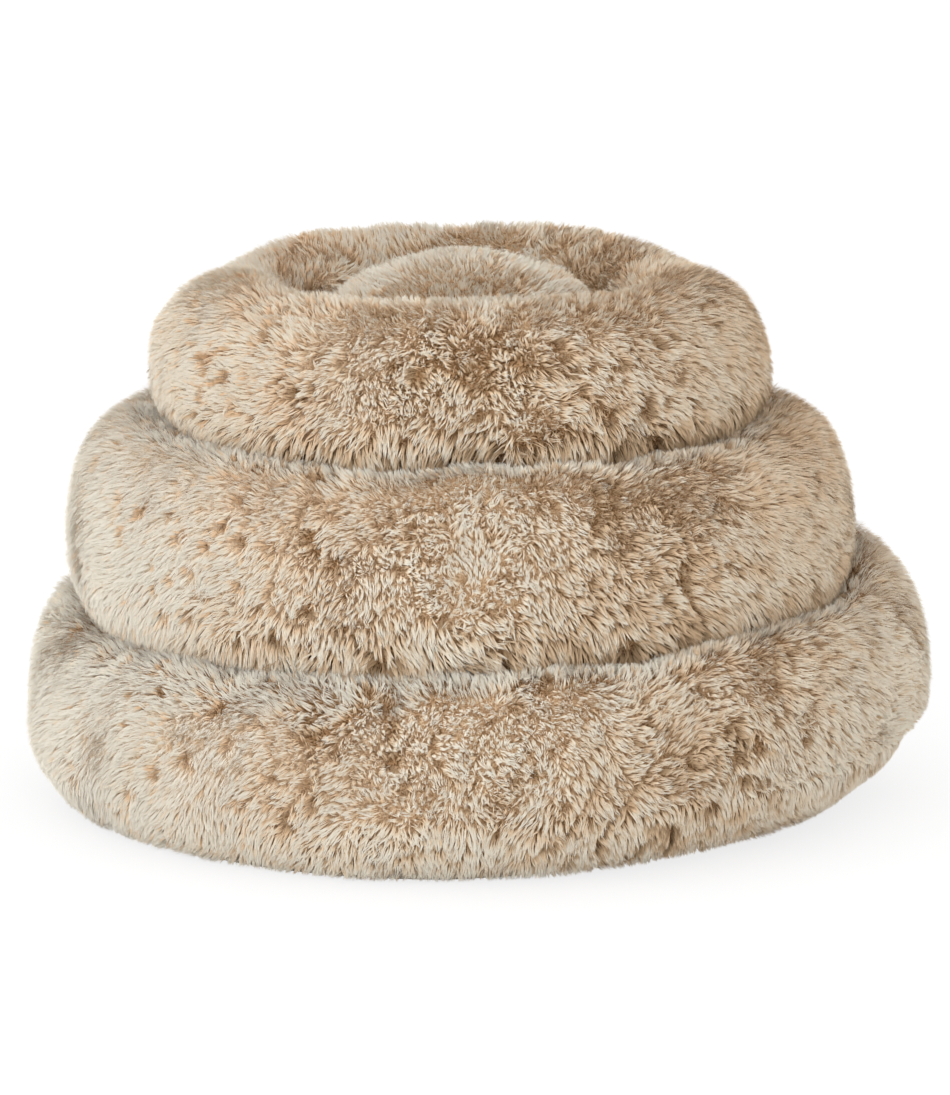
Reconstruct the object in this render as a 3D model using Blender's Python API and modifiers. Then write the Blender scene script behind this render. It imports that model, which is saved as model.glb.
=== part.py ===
"""Three round plush dog beds, small on medium on large, as they are stored in one stack.

Each bed is a stuffed ring (the bolster) round a stuffed centre cushion, on a cloth base with a zip.
Metres, +Z up, origin under the middle of the stack, and the front of the stack faces -Y.
"""

import math
from collections import namedtuple

import bmesh
import bpy
from mathutils import Matrix

MM = 0.001

# Cloth, filling and clearances, alike in the three beds
PLUSH = 22 * MM  # backing and fur together, as thick as the combed pile stands
BASE_CLOTH = 3 * MM
GAP = 0.3 * MM  # between pieces that touch
FUR_ROOM = 8 * MM  # between the flank of a bed and the ring that wraps it
EDGE_ROOM = 4 * MM  # from the edge of a bed's base to where the ring below turns up round it
LUMP = 4 * MM  # how far the uneven filling pushes the ring in and out

# Large bed
LARGE_RADIUS = 452 * MM
LARGE_TUBE = 110 * MM  # half the width of the ring's section
LARGE_BELLY = 115 * MM  # height of the widest line of the ring
LARGE_CROWN = 106 * MM  # from the widest line up to the crest
LARGE_TILT = 55 * MM  # the filling has gathered on the right, which stands this much higher
LARGE_UNDERCUT = 25 * MM  # and overhangs the base there
LARGE_SINK = 34 * MM  # how deep the medium bed presses into the crest
LARGE_CUSHION = 128 * MM  # height of the cushion's crown

# Medium bed
MEDIUM_STEP_IN = 56 * MM  # how far its outline stands in from the large bed's
MEDIUM_RADIUS = LARGE_RADIUS - MEDIUM_STEP_IN
MEDIUM_TUBE = 100 * MM
MEDIUM_BELLY = 98 * MM
MEDIUM_CROWN = 122 * MM
MEDIUM_TILT = 0 * MM
MEDIUM_UNDERCUT = 0 * MM
MEDIUM_SINK = 33 * MM
MEDIUM_CUSHION = 128 * MM
MEDIUM_SHIFT = -16 * MM  # its axis stands left of the large bed's

# Small bed
SMALL_STEP_IN = 84 * MM
SMALL_RADIUS = MEDIUM_RADIUS - SMALL_STEP_IN
SMALL_TUBE = 84 * MM
SMALL_BELLY = 60 * MM
SMALL_CROWN = 108 * MM
SMALL_TILT = 0 * MM
SMALL_UNDERCUT = 0 * MM
SMALL_CUSHION = 170 * MM
SMALL_SHIFT = 0 * MM  # from the medium bed's axis

# Shape of a ring's section and of a cushion
SEAM_ANGLE = math.radians(60)  # below the widest line, where the sleeve meets the base
SECTION_STEPS = 16  # faces from the seam over the crest to the inner wall
TURN_STEPS = 28
WALL_STEPS = 2
CUSHION_STEPS = 5
CUSHION_SHOULDER_SHARE = 0.62  # height of the cushion's edge, of its crown
# Waves of the uneven filling round the ring: count, share of LUMP, start in radians
LUMP_WAVE_SHARES = ((3, 0.6, 0.4), (5, 0.4, 2.1))

# Base panel: flat under the ring, raised in the middle so that the zip clears the floor
BASE_RISE = 10 * MM
BASE_FLAT = 70 * MM  # width of the flat band that the bed stands on
BASE_SLOPE = 30 * MM

# Zip
ZIP_SLOT = 14 * MM
TAPE_WIDTH = 16 * MM
TAPE = 1 * MM
ROW_GAP = 1.2 * MM  # between the two rows of the coil
ROW_WIDTH = 3 * MM
ROW_HEIGHT = 2.6 * MM
ZIP_MARGIN = 12 * MM  # from the end of a tape to the end of its row
ZIP_END_ROOM = 20 * MM  # from the end of a tape to the cushion's inner wall
CHANNEL_WIDTH = 38 * MM  # hollow that the zip presses into the filling
CHANNEL_HEIGHT = 6 * MM
SLIDER_LENGTH = 12 * MM
SLIDER_WIDTH = 10 * MM
SLIDER_PLATE = 1 * MM
SLIDER_FLANGE = 1 * MM
POST_WIDTH = 0.7 * MM
POST_LENGTH = 3 * MM
CHEEK = 1.2 * MM
CHEEK_LENGTH = 4 * MM
CHEEK_DROP = 4 * MM
PIN_RADIUS = 0.8 * MM
PIN_RISE = 1.3 * MM  # from the foot of the cheeks up to the pin's axis
PULL_LENGTH = 24 * MM
PULL_WIDTH = 5 * MM
PULL_THICKNESS = 1.2 * MM
EYE_RADIUS = 1.3 * MM
EYE_WALL = 0.9 * MM
RUNNING_GAP = 0.3 * MM  # between the slider and the rows, and in the pull's eye
OVERRUN = 5 * MM  # how far a cutter passes through a wall
ROUND_SIDES = 12

Bed = namedtuple(
    "Bed", "name radius tube belly crown tilt undercut sink cushion shift above"
)
small = Bed(
    "small", SMALL_RADIUS, SMALL_TUBE, SMALL_BELLY, SMALL_CROWN, SMALL_TILT,
    SMALL_UNDERCUT, None, SMALL_CUSHION, SMALL_SHIFT, None,
)
medium = Bed(
    "medium", MEDIUM_RADIUS, MEDIUM_TUBE, MEDIUM_BELLY, MEDIUM_CROWN, MEDIUM_TILT,
    MEDIUM_UNDERCUT, MEDIUM_SINK, MEDIUM_CUSHION, MEDIUM_SHIFT, small,
)
large = Bed(
    "large", LARGE_RADIUS, LARGE_TUBE, LARGE_BELLY, LARGE_CROWN, LARGE_TILT,
    LARGE_UNDERCUT, LARGE_SINK, LARGE_CUSHION, 0.0, medium,
)


def seat_height(bed):
    """Height over a bed's own base at which the bed above rests on its crest."""
    return bed.belly + bed.crown - bed.sink


def core_radius(bed):
    """Radius of the circle through the middle of the ring's section."""
    return bed.radius - bed.tube


def seam_radius(bed):
    return core_radius(bed) + bed.tube * math.cos(SEAM_ANGLE)


def well_radius(bed):
    """Radius of the ring's inner wall."""
    return core_radius(bed) - bed.tube


def half_zip(bed):
    """Half the length of the zip, which runs across under the cushion's filling."""
    return well_radius(bed) - GAP - PLUSH - ZIP_END_ROOM


def low_reach(bed):
    """Half height of the ellipse below the widest line, which the base cuts at the seam."""
    return bed.belly / math.sin(SEAM_ANGLE)


def underside(bed, x, y):
    """Height of a bed's underside over its own base, at a place seen from its own axis."""
    out = (math.hypot(x, y) - core_radius(bed)) / bed.tube
    if out <= math.cos(SEAM_ANGLE):
        return 0.0
    if out >= 1:
        return math.inf
    return bed.belly - low_reach(bed) * math.sqrt(1 - out * out)


# Scene, collections and materials


def clear_scene():
    for obj in list(bpy.data.objects):
        bpy.data.objects.remove(obj)


def collection(name):
    made = bpy.data.collections.new(name)
    bpy.context.scene.collection.children.link(made)
    return made


clear_scene()
parts = collection("dog_bed_stack")
cutters = collection("cutters")


def material(name, colour, roughness, metallic=0.0):
    made = bpy.data.materials.new(name)
    made.use_nodes = True
    shader = made.node_tree.nodes["Principled BSDF"]
    shader.inputs["Base Color"].default_value = (*colour, 1)
    shader.inputs["Roughness"].default_value = roughness
    shader.inputs["Metallic"].default_value = metallic
    return made


PLUSH_LOOKS = {
    "large": material("plush_large", (0.68, 0.56, 0.43), 0.95),
    "medium": material("plush_medium", (0.68, 0.57, 0.44), 0.95),
    "small": material("plush_small", (0.62, 0.50, 0.36), 0.95),
}
FIBRE = material("polyester_fibre", (0.9, 0.9, 0.88), 1.0)
BASE_LOOK = material("base_cloth", (0.42, 0.36, 0.29), 0.9)
TAPE_LOOK = material("zip_tape", (0.5, 0.42, 0.33), 0.8)
METAL = material("zip_metal", (0.6, 0.58, 0.55), 0.35, 1.0)


# Modelling helpers


def object_from(name, bm, look, parent):
    """One named object from a bmesh, in the parts collection, under a bed's or a slider's empty."""
    mesh = bpy.data.meshes.new(name)
    bm.to_mesh(mesh)
    bm.free()
    obj = bpy.data.objects.new(name, mesh)
    parts.objects.link(obj)
    obj.parent = parent
    mesh.materials.append(look)
    return obj


def empty(name, place, parent=None):
    made = bpy.data.objects.new(name, None)
    parts.objects.link(made)
    made.location = place
    made.parent = parent
    return made


def spun_sheet(profile):
    """The open surface that a profile of (radius, height) makes when it is spun once round +Z."""
    bm = bmesh.new()
    verts = [bm.verts.new((radius, 0, height)) for radius, height in profile]
    edges = [bm.edges.new(pair) for pair in zip(verts, verts[1:])]
    bmesh.ops.spin(
        bm, geom=verts + edges, cent=(0, 0, 0), axis=(0, 0, 1),
        angle=2 * math.pi, steps=TURN_STEPS, use_merge=True,
    )
    bmesh.ops.remove_doubles(bm, verts=bm.verts, dist=GAP / 100)
    bmesh.ops.recalc_face_normals(bm, faces=bm.faces)
    return bm


def face_outwards(bm):
    """Turns an open sheet so that the face that lies highest looks up."""
    bm.normal_update()
    top = max(bm.faces, key=lambda face: face.calc_center_median().z)
    if top.normal.z < 0:
        bmesh.ops.reverse_faces(bm, faces=bm.faces)
    bm.normal_update()


def inset_sheet(bm, depth):
    """Moves each point of a sheet inwards, as Solidify does for the inner side of a cover."""
    moves = [(vert, vert.normal.copy()) for vert in bm.verts]
    for vert, normal in moves:
        vert.co -= normal * depth
    return bm


def rims(bm):
    """The open edges of a sheet, as one list for each loop."""
    open_edges = {edge for edge in bm.edges if edge.is_boundary}
    loops = []
    while open_edges:
        loop = {open_edges.pop()}
        grown = True
        while grown:
            touching = {edge for edge in open_edges if any(
                other in loop for vert in edge.verts for other in vert.link_edges)}
            open_edges -= touching
            loop |= touching
            grown = bool(touching)
        loops.append(list(loop))
    return loops


def mean_radius(loop):
    return sum(edge.verts[0].co.xy.length for edge in loop) / len(loop)


def step_down(bm, loop, height, reach=None, old_centre=0.0, new_centre=0.0):
    """Extends an open rim to a height over the base cloth, straight down or on to a circle."""
    made = bmesh.ops.extrude_edge_only(bm, edges=loop)["geom"]
    for vert in made:
        if isinstance(vert, bmesh.types.BMVert):
            if reach:
                turn = math.atan2(vert.co.y, vert.co.x - old_centre)
                vert.co.x = new_centre + reach * math.cos(turn)
                vert.co.y = reach * math.sin(turn)
            vert.co.z = BASE_CLOTH + GAP + height
    return [edge for edge in made if isinstance(edge, bmesh.types.BMEdge)]


def thicken(obj, thickness):
    """Gives a sheet its thickness, on the inner side."""
    shell = obj.modifiers.new("thickness", "SOLIDIFY")
    shell.thickness = thickness
    shell.offset = -1
    return obj


def box(bm, low, high):
    """Adds a box between two corners to a bmesh."""
    size = [b - a for a, b in zip(low, high)]
    middle = [(a + b) / 2 for a, b in zip(low, high)]
    place = Matrix.Translation(middle) @ Matrix.Diagonal((*size, 1))
    bmesh.ops.create_cube(bm, size=1, matrix=place)


def rod_along_y(bm, radius, length, x, z):
    """Adds a round rod across the zip to a bmesh."""
    turn = Matrix.Rotation(math.pi / 2, 4, "X")
    bmesh.ops.create_cone(
        bm, cap_ends=True, segments=ROUND_SIDES, radius1=radius, radius2=radius,
        depth=length, matrix=Matrix.Translation((x, 0, z)) @ turn,
    )


def helper(name, bm, parent):
    """A cutter or an addition: modelled like a part, but left out of the build."""
    mesh = bpy.data.meshes.new(name)
    bm.to_mesh(mesh)
    bm.free()
    obj = bpy.data.objects.new(name, mesh)
    cutters.objects.link(obj)
    obj.parent = parent
    obj.hide_render = True
    obj.display_type = "WIRE"
    return obj


def combine(obj, other, operation):
    made = obj.modifiers.new(operation.lower(), "BOOLEAN")
    made.operation = operation
    made.object = other
    return obj


# The ring


def section(bed):
    """The ring's section from the outer seam over the crest and down the inner wall."""
    sweep = SEAM_ANGLE + math.pi
    points = []
    for step in range(SECTION_STEPS + 1):
        angle = sweep * step / SECTION_STEPS - SEAM_ANGLE
        reach = bed.crown if angle > 0 else low_reach(bed)
        radius = core_radius(bed) + bed.tube * math.cos(angle)
        points.append((radius, bed.belly + reach * math.sin(angle)))
    if bed.above:
        fit_dent_edge(bed, points)
    drop = bed.belly - base_top(bed, well_radius(bed))
    for step in range(1, WALL_STEPS + 1):
        points.append((well_radius(bed), bed.belly - drop * step / WALL_STEPS))
    return points


def dent_edge(bed):
    """Radius, round the bed above, at which the dent turns up."""
    return seam_radius(bed.above) + EDGE_ROOM


def fit_dent_edge(bed, points):
    """Moves the nearest point of the crest along the section to the edge of the dent."""
    edge = dent_edge(bed)
    crest = [number for number, point in enumerate(points) if point[1] > bed.belly]
    nearest = min(crest, key=lambda number: abs(points[number][0] - edge))
    out = (edge - core_radius(bed)) / bed.tube
    points[nearest] = (edge, bed.belly + bed.crown * math.sqrt(1 - out * out))


def lump(turn):
    return LUMP * sum(
        share * math.sin(count * turn + start) for count, share, start in LUMP_WAVE_SHARES
    )


def shape_ring(bed, bm):
    """Gives the spun ring its uneven filling, its higher side, and the dent of the bed above."""
    for vert in bm.verts:
        radius = math.hypot(vert.co.x, vert.co.y)
        turn = math.atan2(vert.co.y, vert.co.x)
        lift = min(max(vert.co.z, 0) / bed.belly, 1)
        bulge = max((radius - core_radius(bed)) / bed.tube, 0)
        radius += lump(turn) * bulge * lift
        crested = min(max(vert.co.z - bed.belly, 0) / bed.crown, 1)
        overhang = bed.undercut * (1 - lift) * min(bulge / math.cos(SEAM_ANGLE), 1)
        rise = bed.tilt * ((1 + math.cos(turn)) / 2) ** 2 * vert.co.z / (bed.belly + bed.crown)
        vert.co.x = radius * math.cos(turn) - overhang
        vert.co.y = radius * math.sin(turn)
        vert.co.z = max(vert.co.z + rise, BASE_CLOTH + GAP)
        if bed.above:
            centred = 1 - min(abs(radius - dent_edge(bed)) / bed.tube, 1)
            vert.co.x += bed.above.shift * centred * crested
            press(bed, vert)
    return bm


def press(bed, vert):
    """Lowers a point that would lie in the bed above. Under the flat base it ends on the seat."""
    above = bed.above
    low = underside(above, vert.co.x - above.shift, vert.co.y)
    limit = max(-GAP, low - FUR_ROOM)
    vert.co.z = min(vert.co.z, seat_height(bed) + limit)


def ring_sheet(bed):
    bm = shape_ring(bed, spun_sheet(section(bed)))
    face_outwards(bm)
    return bm


def bolster_cover(bed, parent):
    """The plush sleeve: one C-shaped skin, open where the base closes it."""
    sheet = object_from(f"{bed.name}_bolster_cover", ring_sheet(bed), PLUSH_LOOKS[bed.name], parent)
    return thicken(sheet, PLUSH)


def bolster_insert(bed, parent):
    """The ring of fibre in its own bag, which fills the sleeve and stands on the base."""
    bm = inset_sheet(ring_sheet(bed), PLUSH + GAP)
    outer, inner = sorted(rims(bm), key=mean_radius, reverse=True)
    flat_from = seam_radius(bed) - BASE_FLAT
    step_down(bm, outer, 0)
    inner = step_down(bm, inner, BASE_RISE)
    inner = step_down(bm, inner, BASE_RISE, flat_from - BASE_SLOPE, 0, -bed.undercut)
    step_down(bm, inner, 0, flat_from, -bed.undercut, -bed.undercut)
    bmesh.ops.bridge_loops(bm, edges=[edge for loop in rims(bm) for edge in loop])
    bmesh.ops.recalc_face_normals(bm, faces=bm.faces)
    return object_from(f"{bed.name}_bolster_insert", bm, FIBRE, parent)


# The centre cushion


def cushion_radius(bed):
    return well_radius(bed) - GAP


def base_top(bed, radius):
    """Height at which a piece stands on the base panel at a radius."""
    flat_from = seam_radius(bed) - BASE_FLAT
    return BASE_CLOTH + GAP + BASE_RISE * min(max((flat_from - radius) / BASE_SLOPE, 0), 1)


def cushion_profile(bed):
    """From the crown out over the shoulder and down to the base."""
    reach = cushion_radius(bed)
    shoulder = bed.cushion * CUSHION_SHOULDER_SHARE
    points = []
    for step in range(CUSHION_STEPS + 1):
        angle = math.pi / 2 * step / CUSHION_STEPS
        points.append((reach * math.sin(angle), shoulder + (bed.cushion - shoulder) * math.cos(angle)))
    points.append((reach, base_top(bed, reach)))
    return points


def cushion_sheet(bed):
    bm = spun_sheet(cushion_profile(bed))
    face_outwards(bm)
    return bm


def cushion_cover(bed, parent):
    sheet = object_from(f"{bed.name}_cushion_cover", cushion_sheet(bed), PLUSH_LOOKS[bed.name], parent)
    return thicken(sheet, PLUSH)


def cushion_insert(bed, parent):
    """The fibre pad, with the hollow that the zip presses into it."""
    floor = BASE_CLOTH + GAP + BASE_RISE
    bm = inset_sheet(cushion_sheet(bed), PLUSH + GAP)
    for edge in rims(bm)[0]:
        for vert in edge.verts:
            vert.co.z = floor
    bmesh.ops.holes_fill(bm, edges=rims(bm)[0])
    bmesh.ops.recalc_face_normals(bm, faces=bm.faces)
    pad = object_from(f"{bed.name}_cushion_insert", bm, FIBRE, parent)
    bm = bmesh.new()
    half = half_zip(bed) + OVERRUN
    box(
        bm, (-half, -CHANNEL_WIDTH / 2, floor - OVERRUN),
        (half, CHANNEL_WIDTH / 2, floor + CHANNEL_HEIGHT),
    )
    return combine(pad, helper(f"{bed.name}_channel_cutter", bm, parent), "DIFFERENCE")


# The base panel and the zip


def base_panel(bed, parent):
    """The woven underside, flat under the ring and raised round the zip, with the zip's slot."""
    seam = seam_radius(bed)
    inner = seam - BASE_FLAT
    profile = [(seam, 0), (inner, 0), (inner - BASE_SLOPE, BASE_RISE), (0, BASE_RISE)]
    bm = spun_sheet(profile)
    face_outwards(bm)
    panel = object_from(f"{bed.name}_base_panel", bm, BASE_LOOK, parent)
    panel.location.x = -bed.undercut
    thicken(panel, BASE_CLOTH).modifiers["thickness"].offset = 1
    bm = bmesh.new()
    half = half_zip(bed) - ZIP_MARGIN / 2
    box(
        bm, (-half, -ZIP_SLOT / 2, BASE_RISE - OVERRUN),
        (half, ZIP_SLOT / 2, BASE_RISE + BASE_CLOTH + OVERRUN),
    )
    return combine(panel, helper(f"{bed.name}_slot_cutter", bm, parent), "DIFFERENCE")


TAPE_LOW = BASE_RISE + BASE_CLOTH + GAP
CHAIN_MIDDLE = TAPE_LOW + TAPE / 2


def zip_tape(bed, parent, side, word):
    """One tape of the zip with its row of the coil, on the cloth beside the slot."""
    bm = bmesh.new()
    half = half_zip(bed)
    near = ROW_GAP / 2 + ROW_WIDTH / 2
    spread = sorted((side * near, side * (near + TAPE_WIDTH)))
    box(bm, (-half, spread[0], TAPE_LOW), (half, spread[1], TAPE_LOW + TAPE))
    tape = object_from(f"{bed.name}_zip_tape_{word}", bm, TAPE_LOOK, parent)
    bm = bmesh.new()
    end = half - ZIP_MARGIN
    spread = sorted((side * ROW_GAP / 2, side * (ROW_GAP / 2 + ROW_WIDTH)))
    box(
        bm, (-end, spread[0], CHAIN_MIDDLE - ROW_HEIGHT / 2),
        (end, spread[1], CHAIN_MIDDLE + ROW_HEIGHT / 2),
    )
    return combine(tape, helper(f"{bed.name}_row_{word}", bm, parent), "UNION")


PLATE_FROM = ROW_HEIGHT / 2 + RUNNING_GAP  # of the slider, from the middle of the chain
PLATE_TO = PLATE_FROM + SLIDER_PLATE
PIN_HEIGHT = CHAIN_MIDDLE - PLATE_TO - CHEEK_DROP + PIN_RISE


def zip_slider(bed, parent):
    """Two plates round the chain, joined by the post that runs between the rows, with cheeks
    and a pin for the pull. Its empty is at the pin, so heights here count from the pin."""
    middle = CHAIN_MIDDLE - PIN_HEIGHT
    half_length = SLIDER_LENGTH / 2
    half_width = SLIDER_WIDTH / 2
    pieces = []
    for up in (-1, 1):
        flat = sorted((middle + up * PLATE_FROM, middle + up * PLATE_TO))
        pieces.append(((-half_length, -half_width, flat[0]), (half_length, half_width, flat[1])))
        lip = sorted((middle + up * (TAPE / 2 + RUNNING_GAP), middle + up * PLATE_TO))
        for side in (-1, 1):
            wide = sorted((side * (half_width - SLIDER_FLANGE), side * half_width))
            pieces.append(((-half_length, wide[0], lip[0]), (half_length, wide[1], lip[1])))
    pieces.append((
        (half_length - POST_LENGTH, -POST_WIDTH / 2, middle - PLATE_TO),
        (half_length, POST_WIDTH / 2, middle + PLATE_TO),
    ))
    inner = PULL_WIDTH / 2 + RUNNING_GAP
    for side in (-1, 1):
        wide = sorted((side * inner, side * (inner + CHEEK)))
        pieces.append((
            (-CHEEK_LENGTH / 2, wide[0], -PIN_RISE),
            (CHEEK_LENGTH / 2, wide[1], middle - PLATE_FROM),
        ))
    bm = bmesh.new()
    box(bm, *pieces[0])
    slider = object_from(f"{bed.name}_zip_slider", bm, METAL, parent)
    for number, (low, high) in enumerate(pieces[1:]):
        bm = bmesh.new()
        box(bm, low, high)
        combine(slider, helper(f"{bed.name}_slider_piece_{number}", bm, parent), "UNION")
    bm = bmesh.new()
    rod_along_y(bm, PIN_RADIUS, 2 * (inner + CHEEK / 2), 0, 0)
    return combine(slider, helper(f"{bed.name}_slider_pin", bm, parent), "UNION")


def zip_pull(bed, parent):
    """A flat tab whose eye turns on the slider's pin. It lies folded along the zip."""
    bm = bmesh.new()
    rod_along_y(bm, EYE_RADIUS + EYE_WALL, PULL_WIDTH, 0, 0)
    pull = object_from(f"{bed.name}_zip_pull", bm, METAL, parent)
    bm = bmesh.new()
    box(
        bm, (EYE_RADIUS + EYE_WALL / 2, -PULL_WIDTH / 2, -PULL_THICKNESS / 2),
        (PULL_LENGTH, PULL_WIDTH / 2, PULL_THICKNESS / 2),
    )
    combine(pull, helper(f"{bed.name}_pull_tab", bm, parent), "UNION")
    bm = bmesh.new()
    rod_along_y(bm, EYE_RADIUS, PULL_WIDTH + 2 * OVERRUN, 0, 0)
    return combine(pull, helper(f"{bed.name}_eye_cutter", bm, parent), "DIFFERENCE")


# Assembly


def build_bed(bed, place, parent):
    bed_empty = empty(f"{bed.name}_bed", place, parent)
    bolster_cover(bed, bed_empty)
    bolster_insert(bed, bed_empty)
    cushion_cover(bed, bed_empty)
    cushion_insert(bed, bed_empty)
    base_panel(bed, bed_empty)
    zip_tape(bed, bed_empty, -1, "front")
    zip_tape(bed, bed_empty, 1, "rear")
    closed_at = half_zip(bed) - ZIP_MARGIN - SLIDER_LENGTH / 2
    pin_place = (-closed_at, 0, PIN_HEIGHT)
    slider_empty = empty(f"{bed.name}_slider", pin_place, bed_empty)
    zip_slider(bed, slider_empty)
    zip_pull(bed, slider_empty)
    return bed_empty


def main():
    lowest = build_bed(large, (0, 0, 0), None)
    middle = build_bed(medium, (medium.shift, 0, seat_height(large)), lowest)
    build_bed(small, (small.shift, 0, seat_height(medium)), middle)


main()
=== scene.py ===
# %% [markdown]
# # Three round plush dog beds in one stack
# Each bed is a stuffed ring round a stuffed centre cushion, and all that shows of it is long soft fur.
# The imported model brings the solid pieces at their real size. This lesson dresses them: a soft skin
# takes the place of each stuffed solid, and fur is grown on the skins, lock by lock.

import math

import bpy
import numpy as np
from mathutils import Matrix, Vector, kdtree
from mathutils.bvhtree import BVHTree


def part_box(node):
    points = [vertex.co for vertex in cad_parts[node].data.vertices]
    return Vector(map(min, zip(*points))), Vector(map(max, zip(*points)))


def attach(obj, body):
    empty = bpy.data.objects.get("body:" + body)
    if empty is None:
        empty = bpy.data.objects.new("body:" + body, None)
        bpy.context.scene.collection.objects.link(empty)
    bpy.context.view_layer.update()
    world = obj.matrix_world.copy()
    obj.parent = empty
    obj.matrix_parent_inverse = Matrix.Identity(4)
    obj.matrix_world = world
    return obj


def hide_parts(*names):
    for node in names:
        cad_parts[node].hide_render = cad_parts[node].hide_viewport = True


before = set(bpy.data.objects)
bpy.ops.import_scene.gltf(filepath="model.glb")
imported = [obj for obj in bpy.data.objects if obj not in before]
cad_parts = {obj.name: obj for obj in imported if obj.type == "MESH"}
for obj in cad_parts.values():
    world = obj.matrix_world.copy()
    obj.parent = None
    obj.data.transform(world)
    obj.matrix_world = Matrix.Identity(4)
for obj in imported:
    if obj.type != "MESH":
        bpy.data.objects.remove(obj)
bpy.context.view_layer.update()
MM = 0.001

# %% [markdown]
# ## What the three beds share
# The beds are one pattern in three sizes, so every step below is a function that runs three times.
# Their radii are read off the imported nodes, and the seat is the height at which the next bed rests.

# %% Measures of each bed
SIZES = ("large", "medium", "small")
ABOVE = {"large": "medium", "medium": "small"}


def measures(size):
    ring_low, ring_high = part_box(f"{size}_bolster_cover")
    panel_low, panel_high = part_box(f"{size}_base_panel")
    pad_low, pad_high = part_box(f"{size}_cushion_cover")
    return {
        "axis": (pad_low[0] + pad_high[0]) / 2,
        "base": panel_low[2],
        "cloth_top": panel_high[2],
        "radius": (ring_high[0] - ring_low[0]) / 2,
        "well": (pad_high[0] - pad_low[0]) / 2,
        "foot": (panel_high[1] - panel_low[1]) / 2,
        "foot_axis": (panel_low[0] + panel_high[0]) / 2,
    }


BED = {size: measures(size) for size in SIZES}
for size in SIZES:
    print(size, {key: round(float(value), 3) for key, value in BED[size].items()})


# %% [markdown]
# ## The picture's view
# The camera stands far off with a long lens, a little above the stack. It comes this early because the
# tufts and hollows that make this pile look like itself are placed by where the picture shows them:
# a line of sight leaves the camera through the mark and lands on the skin.

# %% Camera
ELEVATION = math.radians(11.7)
DISTANCE = 9.0
AIM = np.array([0.001, 0, 0.2485])
FRAME_HEIGHT = 1.095
PICTURE_WIDTH, PICTURE_HEIGHT = 950, 1095
SENSOR = 36.0
AHEAD = np.array([0, math.cos(ELEVATION), -math.sin(ELEVATION)])
UPWARD = np.array([0, math.sin(ELEVATION), math.cos(ELEVATION)])
STAND = AIM - DISTANCE * AHEAD


def place_camera():
    data = bpy.data.cameras.new("camera")
    data.sensor_width = SENSOR
    data.lens = SENSOR * DISTANCE / FRAME_HEIGHT
    data.clip_end = 100
    made = bpy.data.objects.new("camera", data)
    bpy.context.scene.collection.objects.link(made)
    made.location = STAND
    made.rotation_euler = (math.pi / 2 - ELEVATION, 0, 0)
    bpy.context.scene.camera = made


def sight(across, down):
    """The way from the camera through a pixel of the picture."""
    step = FRAME_HEIGHT / PICTURE_HEIGHT
    way = DISTANCE * AHEAD + step * (PICTURE_HEIGHT / 2 - down) * UPWARD
    way[0] += step * (across - PICTURE_WIDTH / 2)
    return Vector(way).normalized()


place_camera()
print("the camera stands at", [round(float(value), 2) for value in STAND])


# %% [markdown]
# ## Materials
# The fur is frosted: each lock is brown at its root, tan in the middle and cream at its tip, and the
# locks differ a little from each other. Both facts sit in the fur's own UV map, where v is the tone,
# dark at the root and pale at the tip, and u is the lock's shade. So one material with two colour ramps
# colours every strand.

# %% Material helpers
def new_material(name, roughness, sheen=0.0, metallic=0.0):
    made = bpy.data.materials.new(name)
    made.use_nodes = True
    shader = made.node_tree.nodes["Principled BSDF"]
    shader.inputs["Roughness"].default_value = roughness
    shader.inputs["Metallic"].default_value = metallic
    shader.inputs["Sheen Weight"].default_value = sheen
    return made, made.node_tree.nodes, made.node_tree.links, shader


def ramp(nodes, stops):
    """A colour ramp from (place, (r, g, b)) pairs in linear colour."""
    made = nodes.new("ShaderNodeValToRGB")
    bar = made.color_ramp.elements
    while len(bar) < len(stops):
        bar.new(0.5)
    for element, (place, colour) in zip(bar, stops):
        element.position = place
        element.color = (*colour, 1)
    return made


def mix(nodes, links, share, first, second, blend="MIX"):
    made = nodes.new("ShaderNodeMix")
    made.data_type = "RGBA"
    made.blend_type = blend
    for socket, value in ((made.inputs[0], share), (made.inputs[6], first), (made.inputs[7], second)):
        if isinstance(value, bpy.types.NodeSocket):
            links.new(value, socket)
        else:
            socket.default_value = value
    return made.outputs[2]


def object_noise(nodes, links, scale):
    """The object's own coordinates, and noise on them, which stays put when the piece moves."""
    where = nodes.new("ShaderNodeTexCoord")
    noise = nodes.new("ShaderNodeTexNoise")
    noise.inputs["Scale"].default_value = scale
    links.new(where.outputs["Object"], noise.inputs["Vector"])
    return where, noise


def bump_from(height, distance, nodes, links, shader):
    bump = nodes.new("ShaderNodeBump")
    bump.inputs["Distance"].default_value = distance
    links.new(height, bump.inputs["Height"])
    links.new(bump.outputs[0], shader.inputs["Normal"])


print("five helpers: a material, a colour ramp, a mix, noise on the object and a bump")


# %% Fur
FUR_MAP = "OFBake"
# The last stop of each ramp is painted light, reached only by the lip strands and the small cushion, which
# sit in the beds' shade
WARM_STOPS = (
    (0.0, (0.265, 0.16, 0.075)),
    (0.17, (0.68, 0.52, 0.345)),
    (0.36, (0.77, 0.71, 0.60)),
    (0.6, (0.75, 0.725, 0.65)),
    (0.86, (0.74, 0.725, 0.67)),
    (1.0, (0.97, 0.82, 0.61)),
)
PALE_STOPS = (
    (0.0, (0.40, 0.22, 0.095)),
    (0.17, (0.78, 0.58, 0.38)),
    (0.36, (0.75, 0.68, 0.565)),
    (0.6, (0.745, 0.705, 0.625)),
    (0.86, (0.76, 0.735, 0.665)),
    (1.0, (0.97, 0.845, 0.655)),
)


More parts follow.
